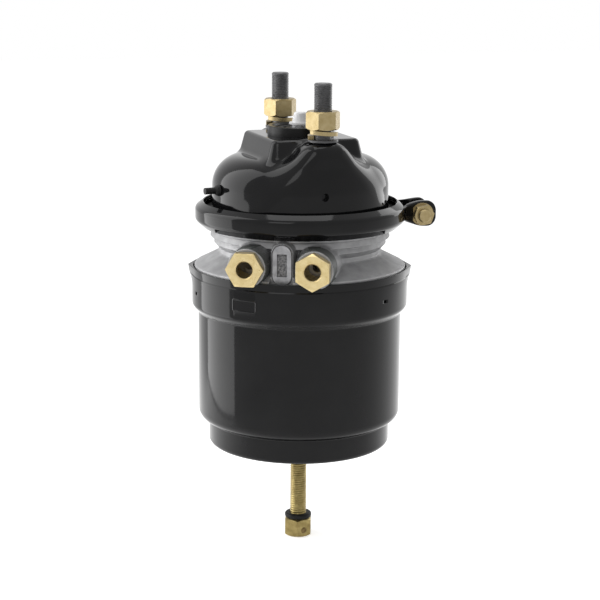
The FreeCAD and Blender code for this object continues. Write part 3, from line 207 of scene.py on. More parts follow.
LOOKS = {
    "service_housing": BLACK_PAINT, "clamp_band": BLACK_PAINT, "spring_housing": BLACK_PAINT,
    "mounting_studs": DARK_STEEL, "stud_nuts": ZINC, "spring_washers": ZINC,
    "clamp_bolt": ZINC, "clamp_nut": ZINC, "service_port_fitting": PORT_ZINC,
    "parking_port_fitting": PORT_ZINC, "port_seals": RUBBER, "seal_ring": RING_RUBBER,
    "push_rod_boot": RUBBER, "boot_retainer": BARE_STEEL, "push_rod": BARE_STEEL,
    "push_rod_cap": PALE_PLASTIC, "push_plate": BARE_STEEL, "return_spring": SPRING_STEEL,
    "service_diaphragm": RUBBER, "vent_plug": RUBBER, "intermediate_housing": CAST,
    "breather_cover": COVER, "breather_filter": FOAM, "flange_seal": RUBBER,
    "lock_ring": SPRING_STEEL, "spring_piston": CAST, "piston_seal": RUBBER,
    "piston_guide_ring": PALE_PLASTIC, "piston_tube": BARE_STEEL, "tube_end_pad": GREY_PLASTIC,
    "tube_seal": RUBBER, "tube_guide_bush": GREY_PLASTIC, "power_spring": SPRING_STEEL,
    "spring_seat": BARE_STEEL, "release_bush": BARE_STEEL, "release_spindle": ZINC_GREEN,
    "release_nut": ZINC_GREEN, "release_pin": ZINC_GREEN, "release_seal_ring": RUBBER,
    "thrust_washer": BARE_STEEL,
}

for dressed, material in LOOKS.items():
    slots = NODES[dressed].data.materials
    slots.clear()
    slots.append(material)


# Mesh helpers. Points are in millimetres until a mesh is made of them.

MERGE_DISTANCE = 1e-7
CORNER_STEPS = 6
THREAD_ROWS_PER_TURN = 8
GROOVE_LEVEL, GROOVE_SLOPE = 1.35, 3.2
HALVINGS = 26
FINE_HALVINGS = 16


def add_object(name, mesh, material):
    made = bpy.data.objects.new(name, mesh)
    bpy.context.scene.collection.objects.link(made)
    mesh.materials.append(material)
    return made


def clean_mesh(name, points, faces, merge=False):
    """A mesh with no loose points, its faces turned outwards."""
    mesh = bpy.data.meshes.new(name)
    mesh.from_pydata((points.reshape(-1, 3) * MM).tolist(), [], faces)
    work = bmesh.new()
    work.from_mesh(mesh)
    loose = [vertex for vertex in work.verts if not vertex.link_faces]
    bmesh.ops.delete(work, geom=loose, context="VERTS")
    if merge:
        bmesh.ops.remove_doubles(work, verts=work.verts, dist=MERGE_DISTANCE)
    bmesh.ops.recalc_face_normals(work, faces=work.faces)
    work.to_mesh(mesh)
    work.free()
    return mesh


def shade(mesh, sharp):
    """Smooth shading, with edges steeper than the angle kept sharp."""
    mesh.polygons.foreach_set("use_smooth", [True] * len(mesh.polygons))
    work = bmesh.new()
    work.from_mesh(mesh)
    limit = math.radians(sharp)
    for edge in work.edges:
        if len(edge.link_faces) == 2 and edge.calc_face_angle() > limit:
            edge.smooth = False
    work.to_mesh(mesh)
    work.free()


def turned_points(radius, height, angle):
    """Points at a radius, a height and an azimuth, which runs from -Y towards +X."""
    return np.stack([radius * np.sin(angle), -radius * np.cos(angle), height], -1)


def grid_mesh(name, points, keep=None):
    """A mesh over rows of points that close in a ring; keep names the faces that stay."""
    rows, columns = points.shape[:2]
    index = np.arange(rows * columns).reshape(rows, columns)
    right = np.roll(index, -1, 1)
    faces = np.stack([index[:-1], right[:-1], right[1:], index[1:]], -1).reshape(-1, 4)
    if keep is not None:
        faces = faces[keep.reshape(-1)]
    return clean_mesh(name, points, faces.tolist())


def rounded(corners, steps=CORNER_STEPS):
    """Points along a closed outline; a corner with a third value is rounded by it."""
    points = []
    count = len(corners)
    for i, corner in enumerate(corners):
        here = np.array(corner[:2], float)
        if len(corner) < 3:
            points.append(here)
            continue
        before = np.array(corners[i - 1][:2], float) - here
        after = np.array(corners[(i + 1) % count][:2], float) - here
        before /= np.linalg.norm(before)
        after /= np.linalg.norm(after)
        half = math.acos(max(-1, min(1, float(before @ after)))) / 2
        reach = corner[2] / math.tan(half)
        middle = before + after
        middle /= np.linalg.norm(middle)
        centre = here + middle * corner[2] / math.sin(half)
        start, end = here + before * reach - centre, here + after * reach - centre
        turn = math.pi - 2 * half
        for k in range(steps + 1):
            f = k / steps
            mixed = math.sin((1 - f) * turn) * start + math.sin(f * turn) * end
            points.append(centre + mixed / math.sin(turn))
    return np.array(points)


def thread_rows(outline, low, high, pitch):
    """More rows on the straight run of an outline that carries a thread."""
    points = []
    for here, there in zip(outline, np.roll(outline, -1, 0)):
        points.append(here)
        run = min(here[1], there[1]) >= low - 1e-6 and max(here[1], there[1]) <= high + 1e-6
        if run and abs(here[0] - there[0]) < 1e-6:
            count = int(abs(there[1] - here[1]) / pitch * THREAD_ROWS_PER_TURN)
            points.extend(here + (there - here) * k / count for k in range(1, count))
    return np.array(points)


def lathe_mesh(name, corners, turns, sharp=40, start=0.0, sweep=360.0, offset=0.0, thread=None):
    """An outline of radius and height turned about an upright axis; a part turn is closed.

    offset is the axis's place in y, and thread gives its low and high end, pitch and depth."""
    outline = rounded(corners)
    full = sweep >= 360
    count = turns if full else turns + 1
    angles = np.radians(start + sweep * np.arange(count) / turns)
    if thread:
        low, high, pitch, depth = thread
        outline = thread_rows(outline, low, high, pitch)
    radius = np.repeat(outline[:, :1], count, 1)
    height = np.repeat(outline[:, 1:], count, 1)
    if thread:
        phase = (height / pitch - angles / (2 * math.pi)) % 1.0
        groove = np.clip(GROOVE_LEVEL - GROOVE_SLOPE * np.abs(phase - 0.5), 0, 1)
        fade = np.clip((height - low) / pitch, 0, 1) * np.clip((high - height) / pitch, 0, 1)
        radius = radius - depth * groove * fade
    points = turned_points(radius, height, angles[None])
    points[..., 1] += offset
    rows = len(outline)
    index = np.arange(rows * count).reshape(rows, count)
    faces = []
    for i in range(rows):
        j = (i + 1) % rows
        for k in range(count if full else count - 1):
            m = (k + 1) % count
            faces.append((index[i, k], index[i, m], index[j, m], index[j, k]))
    if not full:
        faces.append(index[:, 0])
        faces.append(index[::-1, -1])
    mesh = clean_mesh(name, points, [tuple(map(int, face)) for face in faces], merge=True)
    shade(mesh, sharp)
    return mesh


def joined(name, meshes, material):
    """One object from several meshes."""
    work = bmesh.new()
    for mesh in meshes:
        work.from_mesh(mesh)
    whole = bpy.data.meshes.new(name)
    work.to_mesh(whole)
    work.free()
    return add_object(name, whole, material)


def baked(made):
    """The mesh of an object with its modifiers applied; the object itself goes."""
    graph = bpy.context.evaluated_depsgraph_get()
    mesh = bpy.data.meshes.new_from_object(made.evaluated_get(graph))
    bpy.data.objects.remove(made)
    return mesh


def strip(name, path, low, high, thick, corner, sharp=50):
    """A plate of rounded section swept along a path in plan, with its own height at each point."""
    path = np.array(path, float)
    ahead = np.gradient(path, axis=0)
    ahead /= np.linalg.norm(ahead, axis=1)[:, None]
    across = np.stack([-ahead[:, 1], ahead[:, 0]], -1)
    arc = np.radians(np.arange(0, 91, 22.5))
    section = []
    for turn, (u, v) in enumerate(((1, 1), (-1, 1), (-1, -1), (1, -1))):
        for angle in arc + turn * math.pi / 2:
            section.append((u, v, math.cos(angle), math.sin(angle)))
    section = np.array(section)[None]
    half = (high - low) / 2
    most = 0.95 * np.minimum(thick / 2, half)
    round_by = np.minimum(corner, most)[:, None]
    wide = section[..., 0] * ((thick / 2)[:, None] - round_by) + section[..., 2] * round_by
    tall = section[..., 1] * (half[:, None] - round_by) + section[..., 3] * round_by
    count = section.shape[1]
    points = np.empty((len(path), count, 3))
    points[..., :2] = path[:, None] + across[:, None] * wide[..., None]
    points[..., 2] = (low + half)[:, None] + tall
    index = np.arange(points.shape[0] * count).reshape(-1, count)
    right = np.roll(index, -1, 1)
    faces = np.stack([index[:-1], right[:-1], right[1:], index[1:]], -1).reshape(-1, 4).tolist()
    faces.append(index[0, ::-1].tolist())
    faces.append(index[-1].tolist())
    mesh = clean_mesh(name, points, faces)
    shade(mesh, sharp)
    return mesh


def smooth_min(a, b, r):
    """Nearest of two distances, with a fillet of radius r where they meet."""
    return np.maximum(r, np.minimum(a, b)) - np.hypot(np.maximum(r - a, 0), np.maximum(r - b, 0))


def smooth_max(a, b, r):
    """Furthest of two distances, with an edge rounded by r where they meet."""
    return np.minimum(-r, np.maximum(a, b)) + np.hypot(np.maximum(r + a, 0), np.maximum(r + b, 0))


def smooth_step(value):
    """A rise from 0 to 1 that starts and ends level."""
    value = np.clip(value, 0, 1)
    return value * value * (3 - 2 * value)


def halved(distance, origin, direction, low, high, steps):
    """Points on the surface between a reach inside the shape and one outside it."""
    for _ in range(steps):
        middle = (low + high) / 2
        inside = distance(origin + direction * middle[..., None]) < 0
        low = np.where(inside, middle, low)
        high = np.where(inside, high, middle)
    return origin + direction * low[..., None]


def meet_rays(distance, origin, direction, near, far):
    """Points where rays from inside a shape leave it."""
    low = np.full(direction.shape[:-1], float(near))
    high = np.full(direction.shape[:-1], float(far))
    return halved(distance, origin, direction, low, high, HALVINGS)


def first_hit(distance, origin, direction, far, near, step):
    """Points where rays from outside first meet a shape."""
    reach = np.full(direction.shape[:-1], float(far))
    found = np.zeros(direction.shape[:-1], bool)
    low = reach.copy()
    while reach.max() > near and not found.all():
        inside = distance(origin + direction * reach[..., None]) < 0
        low = np.where(inside & ~found, reach, low)
        found |= inside
        reach = reach - step
    return halved(distance, origin, direction, low, low + step, FINE_HALVINGS)


def thickened(shell):
    """The shell with its sheet's thickness on the inside."""
    wall = shell.modifiers.new("wall", "SOLIDIFY")
    wall.thickness = SHEET * MM
    wall.offset = -1
    return shell


# Service housing: pressed sheet.

SHEET = 2.6
HOUSING_RADIUS = 80.3
HOUSING_TOP = -18.0
SHOULDER = 28.0
BLOCK_HALF_WIDTH = 40.0
BLOCK_HALF_LENGTH = 46.5
BLOCK_CORNER = 6.5
BLOCK_EDGE = 3.0
BLOCK_DRAFT = math.radians(15)
BLOCK_FILLET = 4.5
LOBE_HALF_WIDTH = 15.0
LOBE_EDGE = 7.0
LOBE_END = 13.0
LOBE_FLARE = math.radians(42)
LOBE_FILLET = 9.0
DRAIN_AZIMUTH = math.radians(-3.5)
DRAIN_HEIGHT = -46.4
DRAIN_RADIUS = 3.0
DRAIN_FLOOR = 77.0
DRAIN = np.array([math.sin(DRAIN_AZIMUTH), -math.cos(DRAIN_AZIMUTH), 0])
DRAIN_SIDEWAYS = np.array([-DRAIN[1], DRAIN[0], 0])
BOOT_OPENING = 24.5
RAYS_FROM = -60.0
RAYS_NEAR, RAYS_FAR = 20, 140


def housing_distance(p):
    """Pressed housing: a rounded cup with a drafted block that has a lobe out to each stud."""
    x, y, z = p[..., 0], p[..., 1], p[..., 2]
    r = np.hypot(x, y)
    a, b = r - (HOUSING_RADIUS - SHOULDER), z - (HOUSING_TOP - SHOULDER)
    cup = np.hypot(np.maximum(a, 0), np.maximum(b, 0)) + np.minimum(np.maximum(a, b), 0) - SHOULDER
    across, along = np.abs(x), np.abs(y)
    sunk = np.minimum(z, 0)
    middle = smooth_max(across - BLOCK_HALF_WIDTH, along - BLOCK_HALF_LENGTH, BLOCK_CORNER)
    side = (middle + sunk * math.tan(BLOCK_DRAFT)) * math.cos(BLOCK_DRAFT)
    block = smooth_max(side, z, BLOCK_EDGE)
    side = (across - LOBE_HALF_WIDTH + sunk * math.tan(LOBE_FLARE)) * math.cos(LOBE_FLARE)
    lobe = smooth_max(side, z, LOBE_EDGE)
    lobe = smooth_max(lobe, r - HOUSING_RADIUS, LOBE_END)
    block = smooth_max(block, r - HOUSING_RADIUS, BLOCK_EDGE)
    whole = smooth_min(smooth_min(cup, lobe, LOBE_FILLET), block, BLOCK_FILLET)
    drain = np.hypot(p @ DRAIN_SIDEWAYS, z - DRAIN_HEIGHT) - DRAIN_RADIUS
    return np.maximum(whole, -np.maximum(drain, DRAIN_FLOOR - p @ DRAIN))


def service_housing():
    """The housing by rays from its middle, denser towards the drain hole."""
    origin = np.array([0, 0, RAYS_FROM])
    azimuth = np.radians(np.concatenate([np.arange(-7, 0, 0.15), np.arange(0, 353, 0.75)]))
    rise = np.radians(np.concatenate([
        np.arange(-3, 7, 0.6), np.arange(7, 13, 0.15), np.arange(13, 60, 0.6),
        np.arange(60, 90, 0.9)]))
    level = np.repeat(np.cos(rise)[:, None], len(azimuth), 1)
    upwards = np.repeat(np.sin(rise)[:, None], len(azimuth), 1)
    direction = turned_points(level, upwards, azimuth[None])
    points = meet_rays(housing_distance, origin, direction, RAYS_NEAR, RAYS_FAR)
    reach = np.hypot(points[..., 0], points[..., 1])
    open_top = (reach < BOOT_OPENING) & (points[..., 2] > -5)
    keep = ~(open_top[:-1] & np.roll(open_top, -1, 1)[1:])
    mesh = grid_mesh("service_housing_shell", points, keep)
    shade(mesh, 50)
    return thickened(add_object("service_housing_shell", mesh, BLACK_PAINT))


# Intermediate housing: die casting with two port bosses and the breather's pad.

PORT_AZIMUTH = math.radians(-28.5)
OUTWARDS = np.array([math.sin(PORT_AZIMUTH), -math.cos(PORT_AZIMUTH), 0])
SIDEWAYS = np.array([math.cos(PORT_AZIMUTH), math.sin(PORT_AZIMUTH), 0])
PORT_OFFSET = 29.8
PORT_DROP = 106.0
BOSS_RADIUS = 17.2
BOSS_REACH = 99.6
BOSS_FILLET = 2.4
BOSS_FOOT = 121.7
PORT_BORE = (11.0, 83.6)
PORT_FEED = (4.0, 68.0)
PAD_REACH = 90.0
PAD_DRAFT = math.tan(math.radians(5))
PAD_HALF_WIDTH, PAD_HALF_HEIGHT = 10.1, 19.3
COVER_DROP = 104.2
SEAT_HALF_WIDTH, SEAT_HALF_HEIGHT, SEAT_FLOOR = 9.0, 18.3, 88.7
POCKET_HALF_WIDTH, POCKET_HALF_HEIGHT, POCKET_FLOOR = 5.4, 11.0, 86.1
CAST_EDGE = 1.2
CAST_CORE = 40
CAST_TOP, CAST_BOTTOM = -71.5, -121.8
CAST_ROW = 0.4
CAST_RAYS = (114, 60, 1.0)
FLANK_INSIDE, FLANK_OUTSIDE = 0.8, 1.4
FLANK_START = 79
FLANK_FACING = 0.6
WAIST = np.array([
    (91.0, -71.5), (91.0, -73.7), (84.8, -80.3), (84.6, -85.3), (80.9, -86.6), (82.0, -91.8),
    (77.2, -93.2), (78.6, -97.6), (74.2, -102.3), (74.0, -106.2), (75.6, -107.7), (96.0, -118.0),
    (96.6, -118.6), (96.6, -120.6), (96.2, -120.9), (96.2, -121.8),
])


def stadium(across, height, half_width, half_height):
    """Distance to an oblong with round ends, standing on end."""
    straight = half_height - half_width
    return np.hypot(across, np.maximum(np.abs(height) - straight, 0)) - half_width


def casting_distance(p):
    """Turned waist with the bosses and the pad, less the ports, the seat and its pocket."""
    z = p[..., 2]
    r = np.hypot(p[..., 0], p[..., 1])
    out = p @ OUTWARDS
    side = p @ SIDEWAYS
    level = z + COVER_DROP
    whole = r - np.interp(z, WAIST[::-1, 1], WAIST[::-1, 0])
    for offset in (-PORT_OFFSET, PORT_OFFSET):
        body = np.maximum(np.hypot(side - offset, z + PORT_DROP) - BOSS_RADIUS, -(z + BOSS_FOOT))
        boss = np.maximum(smooth_max(body, out - BOSS_REACH, CAST_EDGE), CAST_CORE - out)
        whole = smooth_min(whole, boss, BOSS_FILLET)
    drawn = np.maximum((PAD_REACH - out) * PAD_DRAFT, 0)
    pad = stadium(side, level, PAD_HALF_WIDTH, PAD_HALF_HEIGHT) - drawn
    pad = np.maximum(smooth_max(pad, out - PAD_REACH, CAST_EDGE), CAST_CORE - out)
    whole = smooth_min(whole, pad, CAST_EDGE)
    foot = np.maximum(np.maximum(np.abs(side) - PAD_HALF_WIDTH, PAD_REACH - out), level)
    seat = np.maximum(stadium(side, level, SEAT_HALF_WIDTH, SEAT_HALF_HEIGHT), SEAT_FLOOR - out)
    pocket = np.maximum(np.abs(side) - POCKET_HALF_WIDTH, np.abs(level) - POCKET_HALF_HEIGHT)
    pocket = np.maximum(pocket, POCKET_FLOOR - out)
    whole = np.maximum(whole, -np.minimum(np.minimum(foot, seat), pocket))
    for offset in (-PORT_OFFSET, PORT_OFFSET):
        across = np.hypot(side - offset, z + PORT_DROP)
        for radius, floor_reach in (PORT_BORE, PORT_FEED):
            whole = np.maximum(whole, -np.maximum(across - radius, floor_reach - out))
    return whole


def paint_boss_shade(mesh):
    """Painted shade: the side walls of the port bosses get a darker copy of the cast material than
    the rest of the casting.
    """
    count = len(mesh.polygons)
    centre = np.empty(count * 3)
    normal = np.empty(count * 3)
    mesh.polygons.foreach_get("center", centre)
    mesh.polygons.foreach_get("normal", normal)
    centre = centre.reshape(-1, 3) / MM
    normal = normal.reshape(-1, 3)
    out, side = centre @ OUTWARDS, centre @ SIDEWAYS
    near = np.hypot(np.abs(side) - PORT_OFFSET, centre[:, 2] + PORT_DROP)
    shaded_flank = (near > BOSS_RADIUS - FLANK_INSIDE) & (near < BOSS_RADIUS + FLANK_OUTSIDE)
    shaded_flank &= (out > FLANK_START) & (np.abs(normal @ OUTWARDS) < FLANK_FACING)
    mesh.polygons.foreach_set("material_index", shaded_flank.astype(int))


def intermediate_housing():
    """The casting by level rays from outside, denser on the side of the ports."""
    azimuth = np.radians(np.concatenate([np.arange(-75, 12, 0.3), np.arange(12, 285, 1.2)]))
    heights = [CAST_TOP]
    while heights[-1] > CAST_BOTTOM:
        heights.append(max(CAST_BOTTOM, heights[-1] - CAST_ROW))
    heights = np.array(heights)
    level = np.ones((len(heights), len(azimuth)))
    direction = turned_points(level, 0 * level, azimuth[None])
    origin = np.zeros((len(heights), 1, 3))
    origin[..., 2] = heights[:, None]
    points = first_hit(casting_distance, origin, direction, *CAST_RAYS)
    mesh = grid_mesh("intermediate_housing_form", points)
    shade(mesh, 62)
    made = add_object("intermediate_housing_form", mesh, CAST)
    # Slot 1 is the painted shade on the side walls of the port bosses.
    mesh.materials.append(CAST_PAINTED_SHADE)
    paint_boss_shade(mesh)
    return made


# Clamp band: a rolled channel whose two ends turn outwards into lugs.

LUG_AZIMUTH = math.radians(80.0)
LUG_OUTWARDS = np.array([math.sin(LUG_AZIMUTH), -math.cos(LUG_AZIMUTH)])
LUG_TOWARDS = np.array([-math.cos(LUG_AZIMUTH), -math.sin(LUG_AZIMUTH)])
LUG_MIDDLE = 9.5
LUG_FILLET = 20.0
LUG_CORNER = 8.0
LUG_CORNER_LIMIT = 7.0
LUG_TOP, LUG_RISE = -66.4, 5.4
LUG_BOTTOM, LUG_FALL = -75.4, 9.1
LUG_THIN, LUG_THICKER = 2.4, 3.6
LUG_SWELL_START, LUG_SWELL_LENGTH = 92, 10
LUG_RISE_PAST = 2
LUG_EDGE = 1.4
LUG_LAP = 0.28
NEAR_LUG_REACH, FAR_LUG_REACH = 124.0, 120.0
BAND_MIDDLE = 94.4


def lug_mesh(name, side, reach):
    """One end of the band, turned outwards through a fillet into a plate for the bolt."""
    bend = BAND_MIDDLE + LUG_FILLET
    offset = LUG_MIDDLE + LUG_FILLET
    centre = np.array([math.sqrt(bend ** 2 - offset ** 2), offset])
    turned = math.asin(offset / bend)
    path = []
    for angle in np.linspace(turned + LUG_LAP, turned, 14)[:-1]:
        path.append((BAND_MIDDLE * math.cos(angle), BAND_MIDDLE * math.sin(angle)))
    for angle in np.linspace(math.pi + turned, 1.5 * math.pi, 20):
        path.append(centre + LUG_FILLET * np.array([math.cos(angle), math.sin(angle)]))
    for out in np.linspace(path[-1][0], reach, 34)[1:]:
        path.append((out, LUG_MIDDLE))
    path = np.array(path)
    out = path[:, 0]
    grown = smooth_step((out - out[0]) / (centre[0] - out[0] + LUG_RISE_PAST))
    past = np.maximum(LUG_CORNER - (reach - out), 0)
    dip = LUG_CORNER - np.sqrt(np.maximum(LUG_CORNER ** 2 - past ** 2, 0))
    inset = np.minimum(np.where(path[:, 1] <= LUG_MIDDLE + 1e-6, dip, 0), LUG_CORNER_LIMIT)
    high = LUG_TOP + LUG_RISE * grown - inset
    low = LUG_BOTTOM - LUG_FALL * grown + inset
    thick = LUG_THIN + LUG_THICKER * smooth_step((out - LUG_SWELL_START) / LUG_SWELL_LENGTH)
    plan = path[:, :1] * LUG_OUTWARDS + side * path[:, 1:] * LUG_TOWARDS
    return strip(name, plan, low, high, thick, LUG_EDGE)


def clamp_band():
    """Rolled band with round shoulders, its two ends turned out into lugs."""
    channel = lathe_mesh("channel", [
        (88.2, -60.6), (89.0, -60.3), (95.8, -65.2, 5.0), (95.8, -76.6, 5.0), (89.0, -82.9),
        (88.2, -82.6), (88.2, -80.0), (93.2, -75.8, 3.0), (93.2, -66.0, 3.0), (88.2, -63.2),
    ], turns=300, start=84.6, sweep=350.8, sharp=50)
    near = lug_mesh("near_lug", 1, NEAR_LUG_REACH)
    far = lug_mesh("far_lug", -1, FAR_LUG_REACH)
    return joined("clamp_band_rolled", [channel, near, far], BLACK_PAINT)


# Spring housing: a deep drawn can. Its azimuths are in degrees.

RIM_RADIUS = 99.0
RIM_WALL = 98.0
RIM_LIP = 97.8
CAN_OUTLINE = [
    (97.7, -119.8), (99.0, -119.8, 0.4), (98.4, -126.6, 0.6), (99.0, -127.6, 0.6),
    (99.0, -155.0, 6.0), (93.4, -161.0, 3.0), (93.4, -263.0, 10.0), (84.0, -263.4, 2.0),
    (84.0, -286.6, 5.0), (17.1, -286.6), (17.1, -119.8),
]
CAN_CORNER_STEPS = 8
WINDOWS = 31.5 + 40.0 * np.arange(7)
WINDOW_HEIGHT = -141.0
WINDOW_HALF_HEIGHT = 1.5
WINDOW_HALF_ANGLE = 1.45
FRAME_AZIMUTH, FRAME_HEIGHT = -48.0, -141.0
FRAME_HALF_LENGTH, FRAME_HALF_HEIGHT = 11.6, 5.0
FRAME_CORNER = 1.5
FRAME_HALF_LINE = 0.9
FRAME_RISE = 0.5
EARS = (71.3, -108.7)
EAR_HALF_ANGLE = 15.2
EAR_FOOT, EAR_FADE = -131.0, 5.0


def turned_apart(a, b):
    """The angle between two azimuths."""
    return np.abs((a - b + 180) % 360 - 180)


def pressed_frame(azimuth, z):
    """Height of the thin raised frame that is pressed into the rim's wall."""
    along_rim = np.abs((azimuth - FRAME_AZIMUTH) * math.radians(1) * RIM_RADIUS)
    across = along_rim - FRAME_HALF_LENGTH + FRAME_CORNER
    along = np.abs(z - FRAME_HEIGHT) - FRAME_HALF_HEIGHT + FRAME_CORNER
    outside = np.hypot(np.maximum(across, 0), np.maximum(along, 0))
    edge = outside + np.minimum(np.maximum(across, along), 0)
    return FRAME_RISE * smooth_step(1 - np.abs(edge - FRAME_CORNER) / FRAME_HALF_LINE)


def ear_reach(azimuth, z):
    """How far the two pointed ears at the rim's lip stand out of its circle."""
    reach = np.zeros(np.broadcast(azimuth, z).shape)
    for middle in EARS:
        turned = EAR_HALF_ANGLE - turned_apart(azimuth, middle)
        tangent = RIM_RADIUS / np.cos(np.radians(np.clip(turned, 0, 16))) - RIM_RADIUS
        reach = reach + tangent * np.clip((z - EAR_FOOT) / EAR_FADE, 0, 1)
    return reach


def can_rows():
    """The can's outline, with more rows at the windows and the pressed frame."""
    window_edges = [WINDOW_HEIGHT + WINDOW_HALF_HEIGHT, WINDOW_HEIGHT - WINDOW_HALF_HEIGHT]
    outline = rounded(CAN_OUTLINE, CAN_CORNER_STEPS)[:-1]
    rows = [outline[0]]
    for here, there in zip(outline[:-1], outline[1:]):
        cuts = list(window_edges)
        if there[1] < -134 and here[1] > -148:
            cuts += list(np.arange(-135.2, -146.8, -0.25))
        for z in sorted(set(np.round(cuts, 3)), reverse=True):
            if there[1] < z < here[1]:
                rows.append(here + (there - here) * (z - here[1]) / (there[1] - here[1]))
        rows.append(there)
    return np.array(rows)


def can_azimuths():
    """Columns of the can, denser at the frame and the ears and set to the windows' sides."""
    azimuth = np.concatenate([
        np.arange(-180, -57, 1.2), np.arange(-57, -39, 0.16), np.arange(-39, 180, 1.2)])
    for middle in EARS:
        clear = azimuth[np.abs(azimuth - middle) > 2.5]
        azimuth = np.append(clear, middle + np.arange(-2.4, 2.5, 0.4))
    for middle in (WINDOWS + 180) % 360 - 180:
        clear = azimuth[np.abs(azimuth - middle) > WINDOW_HALF_ANGLE + 0.5]
        azimuth = np.append(
            clear, [middle - WINDOW_HALF_ANGLE, middle, middle + WINDOW_HALF_ANGLE])
    return np.sort(azimuth)


def spring_housing():
    """Deep drawn can with its lipped rim, lock windows and pressed frame."""
    outline = can_rows()
    azimuth = can_azimuths()
    radius = np.repeat(outline[:, :1], len(azimuth), 1)
    height = np.repeat(outline[:, 1:], len(azimuth), 1)
    radius = radius + np.where(radius > RIM_WALL, pressed_frame(azimuth[None], height), 0)
    radius = radius + np.where(radius > RIM_LIP, ear_reach(azimuth[None], height), 0)
    points = turned_points(radius, height, np.radians(azimuth)[None])
    middle_height = (height[:-1, :1] + height[1:, :1]) / 2
    middle_azimuth = (azimuth + np.roll(azimuth, -1)) / 2
    near = np.min(turned_apart(middle_azimuth[:, None], WINDOWS[None]), axis=1)
    at_window = np.abs(middle_height - WINDOW_HEIGHT) < WINDOW_HALF_HEIGHT
    keep = ~((near < WINDOW_HALF_ANGLE)[None] & at_window)
    mesh = grid_mesh("can", points, keep)
    shade(mesh, 50)
    shell = thickened(add_object("can", mesh, BLACK_PAINT))
    return joined("spring_housing_drawn", [baked(shell)], BLACK_PAINT)


# Studs, release spindle, nut and pin.

STUD_OFFSET = 60.325
STUD_THREAD = (27.1, 49.9, 1.5, 0.55)
SPINDLE_THREAD = (-363.0, -192.5, 2.2, 0.55)
NUT_TURN = -21.0
NUT_FLATS = 24.0
NUT_LOW, NUT_HIGH = -380.0, -363.0
NUT_BORE = 7.02
NUT_FACE = 0.94 * NUT_FLATS / 2
NUT_CHAMFER = math.tan(math.radians(32))
PIN_TURN = math.radians(9.0)
PIN_HALF_LENGTH = 12.6
PIN_RADIUS, PIN_END_RADIUS, PIN_CHAMFER = 3.2, 2.2, 0.9
PIN_HEIGHT = -373.5


def studs():
    """Both studs with their threads."""
    meshes = []
    for side in (-1, 1):
        meshes.append(lathe_mesh("stud", [
            (0, -7.0), (11.0, -7.0), (11.0, -5.1), (9.0, -3.1), (9.0, 0.05), (13.6, 0.05, 0.4),
            (13.6, 2.0, 0.5), (7.5, 2.0), (7.5, 26.9), (8.0, 27.1), (8.0, 49.9), (6.9, 51.0),
            (0, 51.0),
        ], turns=72, offset=STUD_OFFSET * side, thread=STUD_THREAD))
    return joined("stud_pair_threaded", meshes, DARK_STEEL)


def spindle():
    """Release spindle with its coarse thread and the head inside the tube."""
    mesh = lathe_mesh("spindle", [
        (0, -379.0), (7.0, -379.0), (7.0, -363.0), (7.7, -363.0), (7.7, -192.5), (11.4, -192.5),
        (11.4, -183.5, 1.0), (0, -183.5),
    ], turns=72, thread=SPINDLE_THREAD)
    return joined("spindle_threaded", [mesh], ZINC_GREEN)


def nut():
    """Hexagon nut of the release bolt, both ends cut by a chamfer cone."""
    angles = np.arange(0, 360, 2.5)
    corner = np.radians((angles - NUT_TURN) % 60 - 30)
    reach = NUT_FLATS / 2 / np.cos(corner)
    cut = (reach - NUT_FACE) * NUT_CHAMFER
    one = np.ones_like(reach)
    radius = np.stack([
        NUT_BORE * one, NUT_FACE * one, reach, reach, NUT_FACE * one, NUT_BORE * one])
    height = np.stack([
        NUT_LOW * one, NUT_LOW * one, NUT_LOW + cut, NUT_HIGH - cut, NUT_HIGH * one,
        NUT_HIGH * one])
    points = turned_points(radius, height, np.radians(angles)[None])
    index = np.arange(radius.size).reshape(radius.shape)
    right = np.roll(index, -1, 1)
    below, below_right = np.roll(index, -1, 0), np.roll(right, -1, 0)
    faces = np.stack([index, right, below_right, below], -1).reshape(-1, 4)
    mesh = clean_mesh("nut", points, faces.tolist())
    shade(mesh, 14)
    return joined("release_nut_chamfered", [mesh], ZINC_GREEN)


def pin():
    """Cross pin through the nut and the spindle, its ends chamfered."""
    end, edge = PIN_HALF_LENGTH, PIN_HALF_LENGTH - PIN_CHAMFER
    mesh = lathe_mesh("pin", [
        (0, -end), (PIN_END_RADIUS, -end), (PIN_RADIUS, -edge), (PIN_RADIUS, edge),
        (PIN_END_RADIUS, end), (0, end),
    ], turns=48, sharp=25)
    lay = Matrix.Rotation(PIN_TURN, 4, "Z") @ Matrix.Rotation(math.radians(90), 4, "X")
    mesh.transform(Matrix.Translation((0, 0, PIN_HEIGHT * MM)) @ lay)
    return joined("release_pin_chamfered", [mesh], PIN_STEEL)


for piece, node, body in (
        (service_housing(), "service_housing", "actuator_body"),
        (intermediate_housing(), "intermediate_housing", "actuator_body"),
        (clamp_band(), "clamp_band", "actuator_body"),
        (spring_housing(), "spring_housing", "actuator_body"),
        (studs(), "mounting_studs", "actuator_body"),
        (spindle(), "release_spindle", "release_bolt"),
        (nut(), "release_nut", "release_bolt"),
        (pin(), "release_pin", "release_bolt")):
    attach(piece, body)
    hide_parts(node)


# Springs and diaphragm. They keep their nodes' shapes.


def soft_piece(node, name):
    """The node's own shape as a piece of its own."""
    mesh = NODES[node].data.copy()
    mesh.materials.clear()
    made = add_object(name, mesh, LOOKS[node])
    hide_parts(node)
    return made


power_coil = soft_piece("power_spring", "power_spring_coil")
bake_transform(power_coil)

cup = soft_piece("service_diaphragm", "service_diaphragm_cup")
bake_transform(cup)

return_coil = soft_piece("return_spring", "return_spring_coil")
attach(return_coil, "actuator_body")
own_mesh(return_coil)


# Studio. Places are in metres.

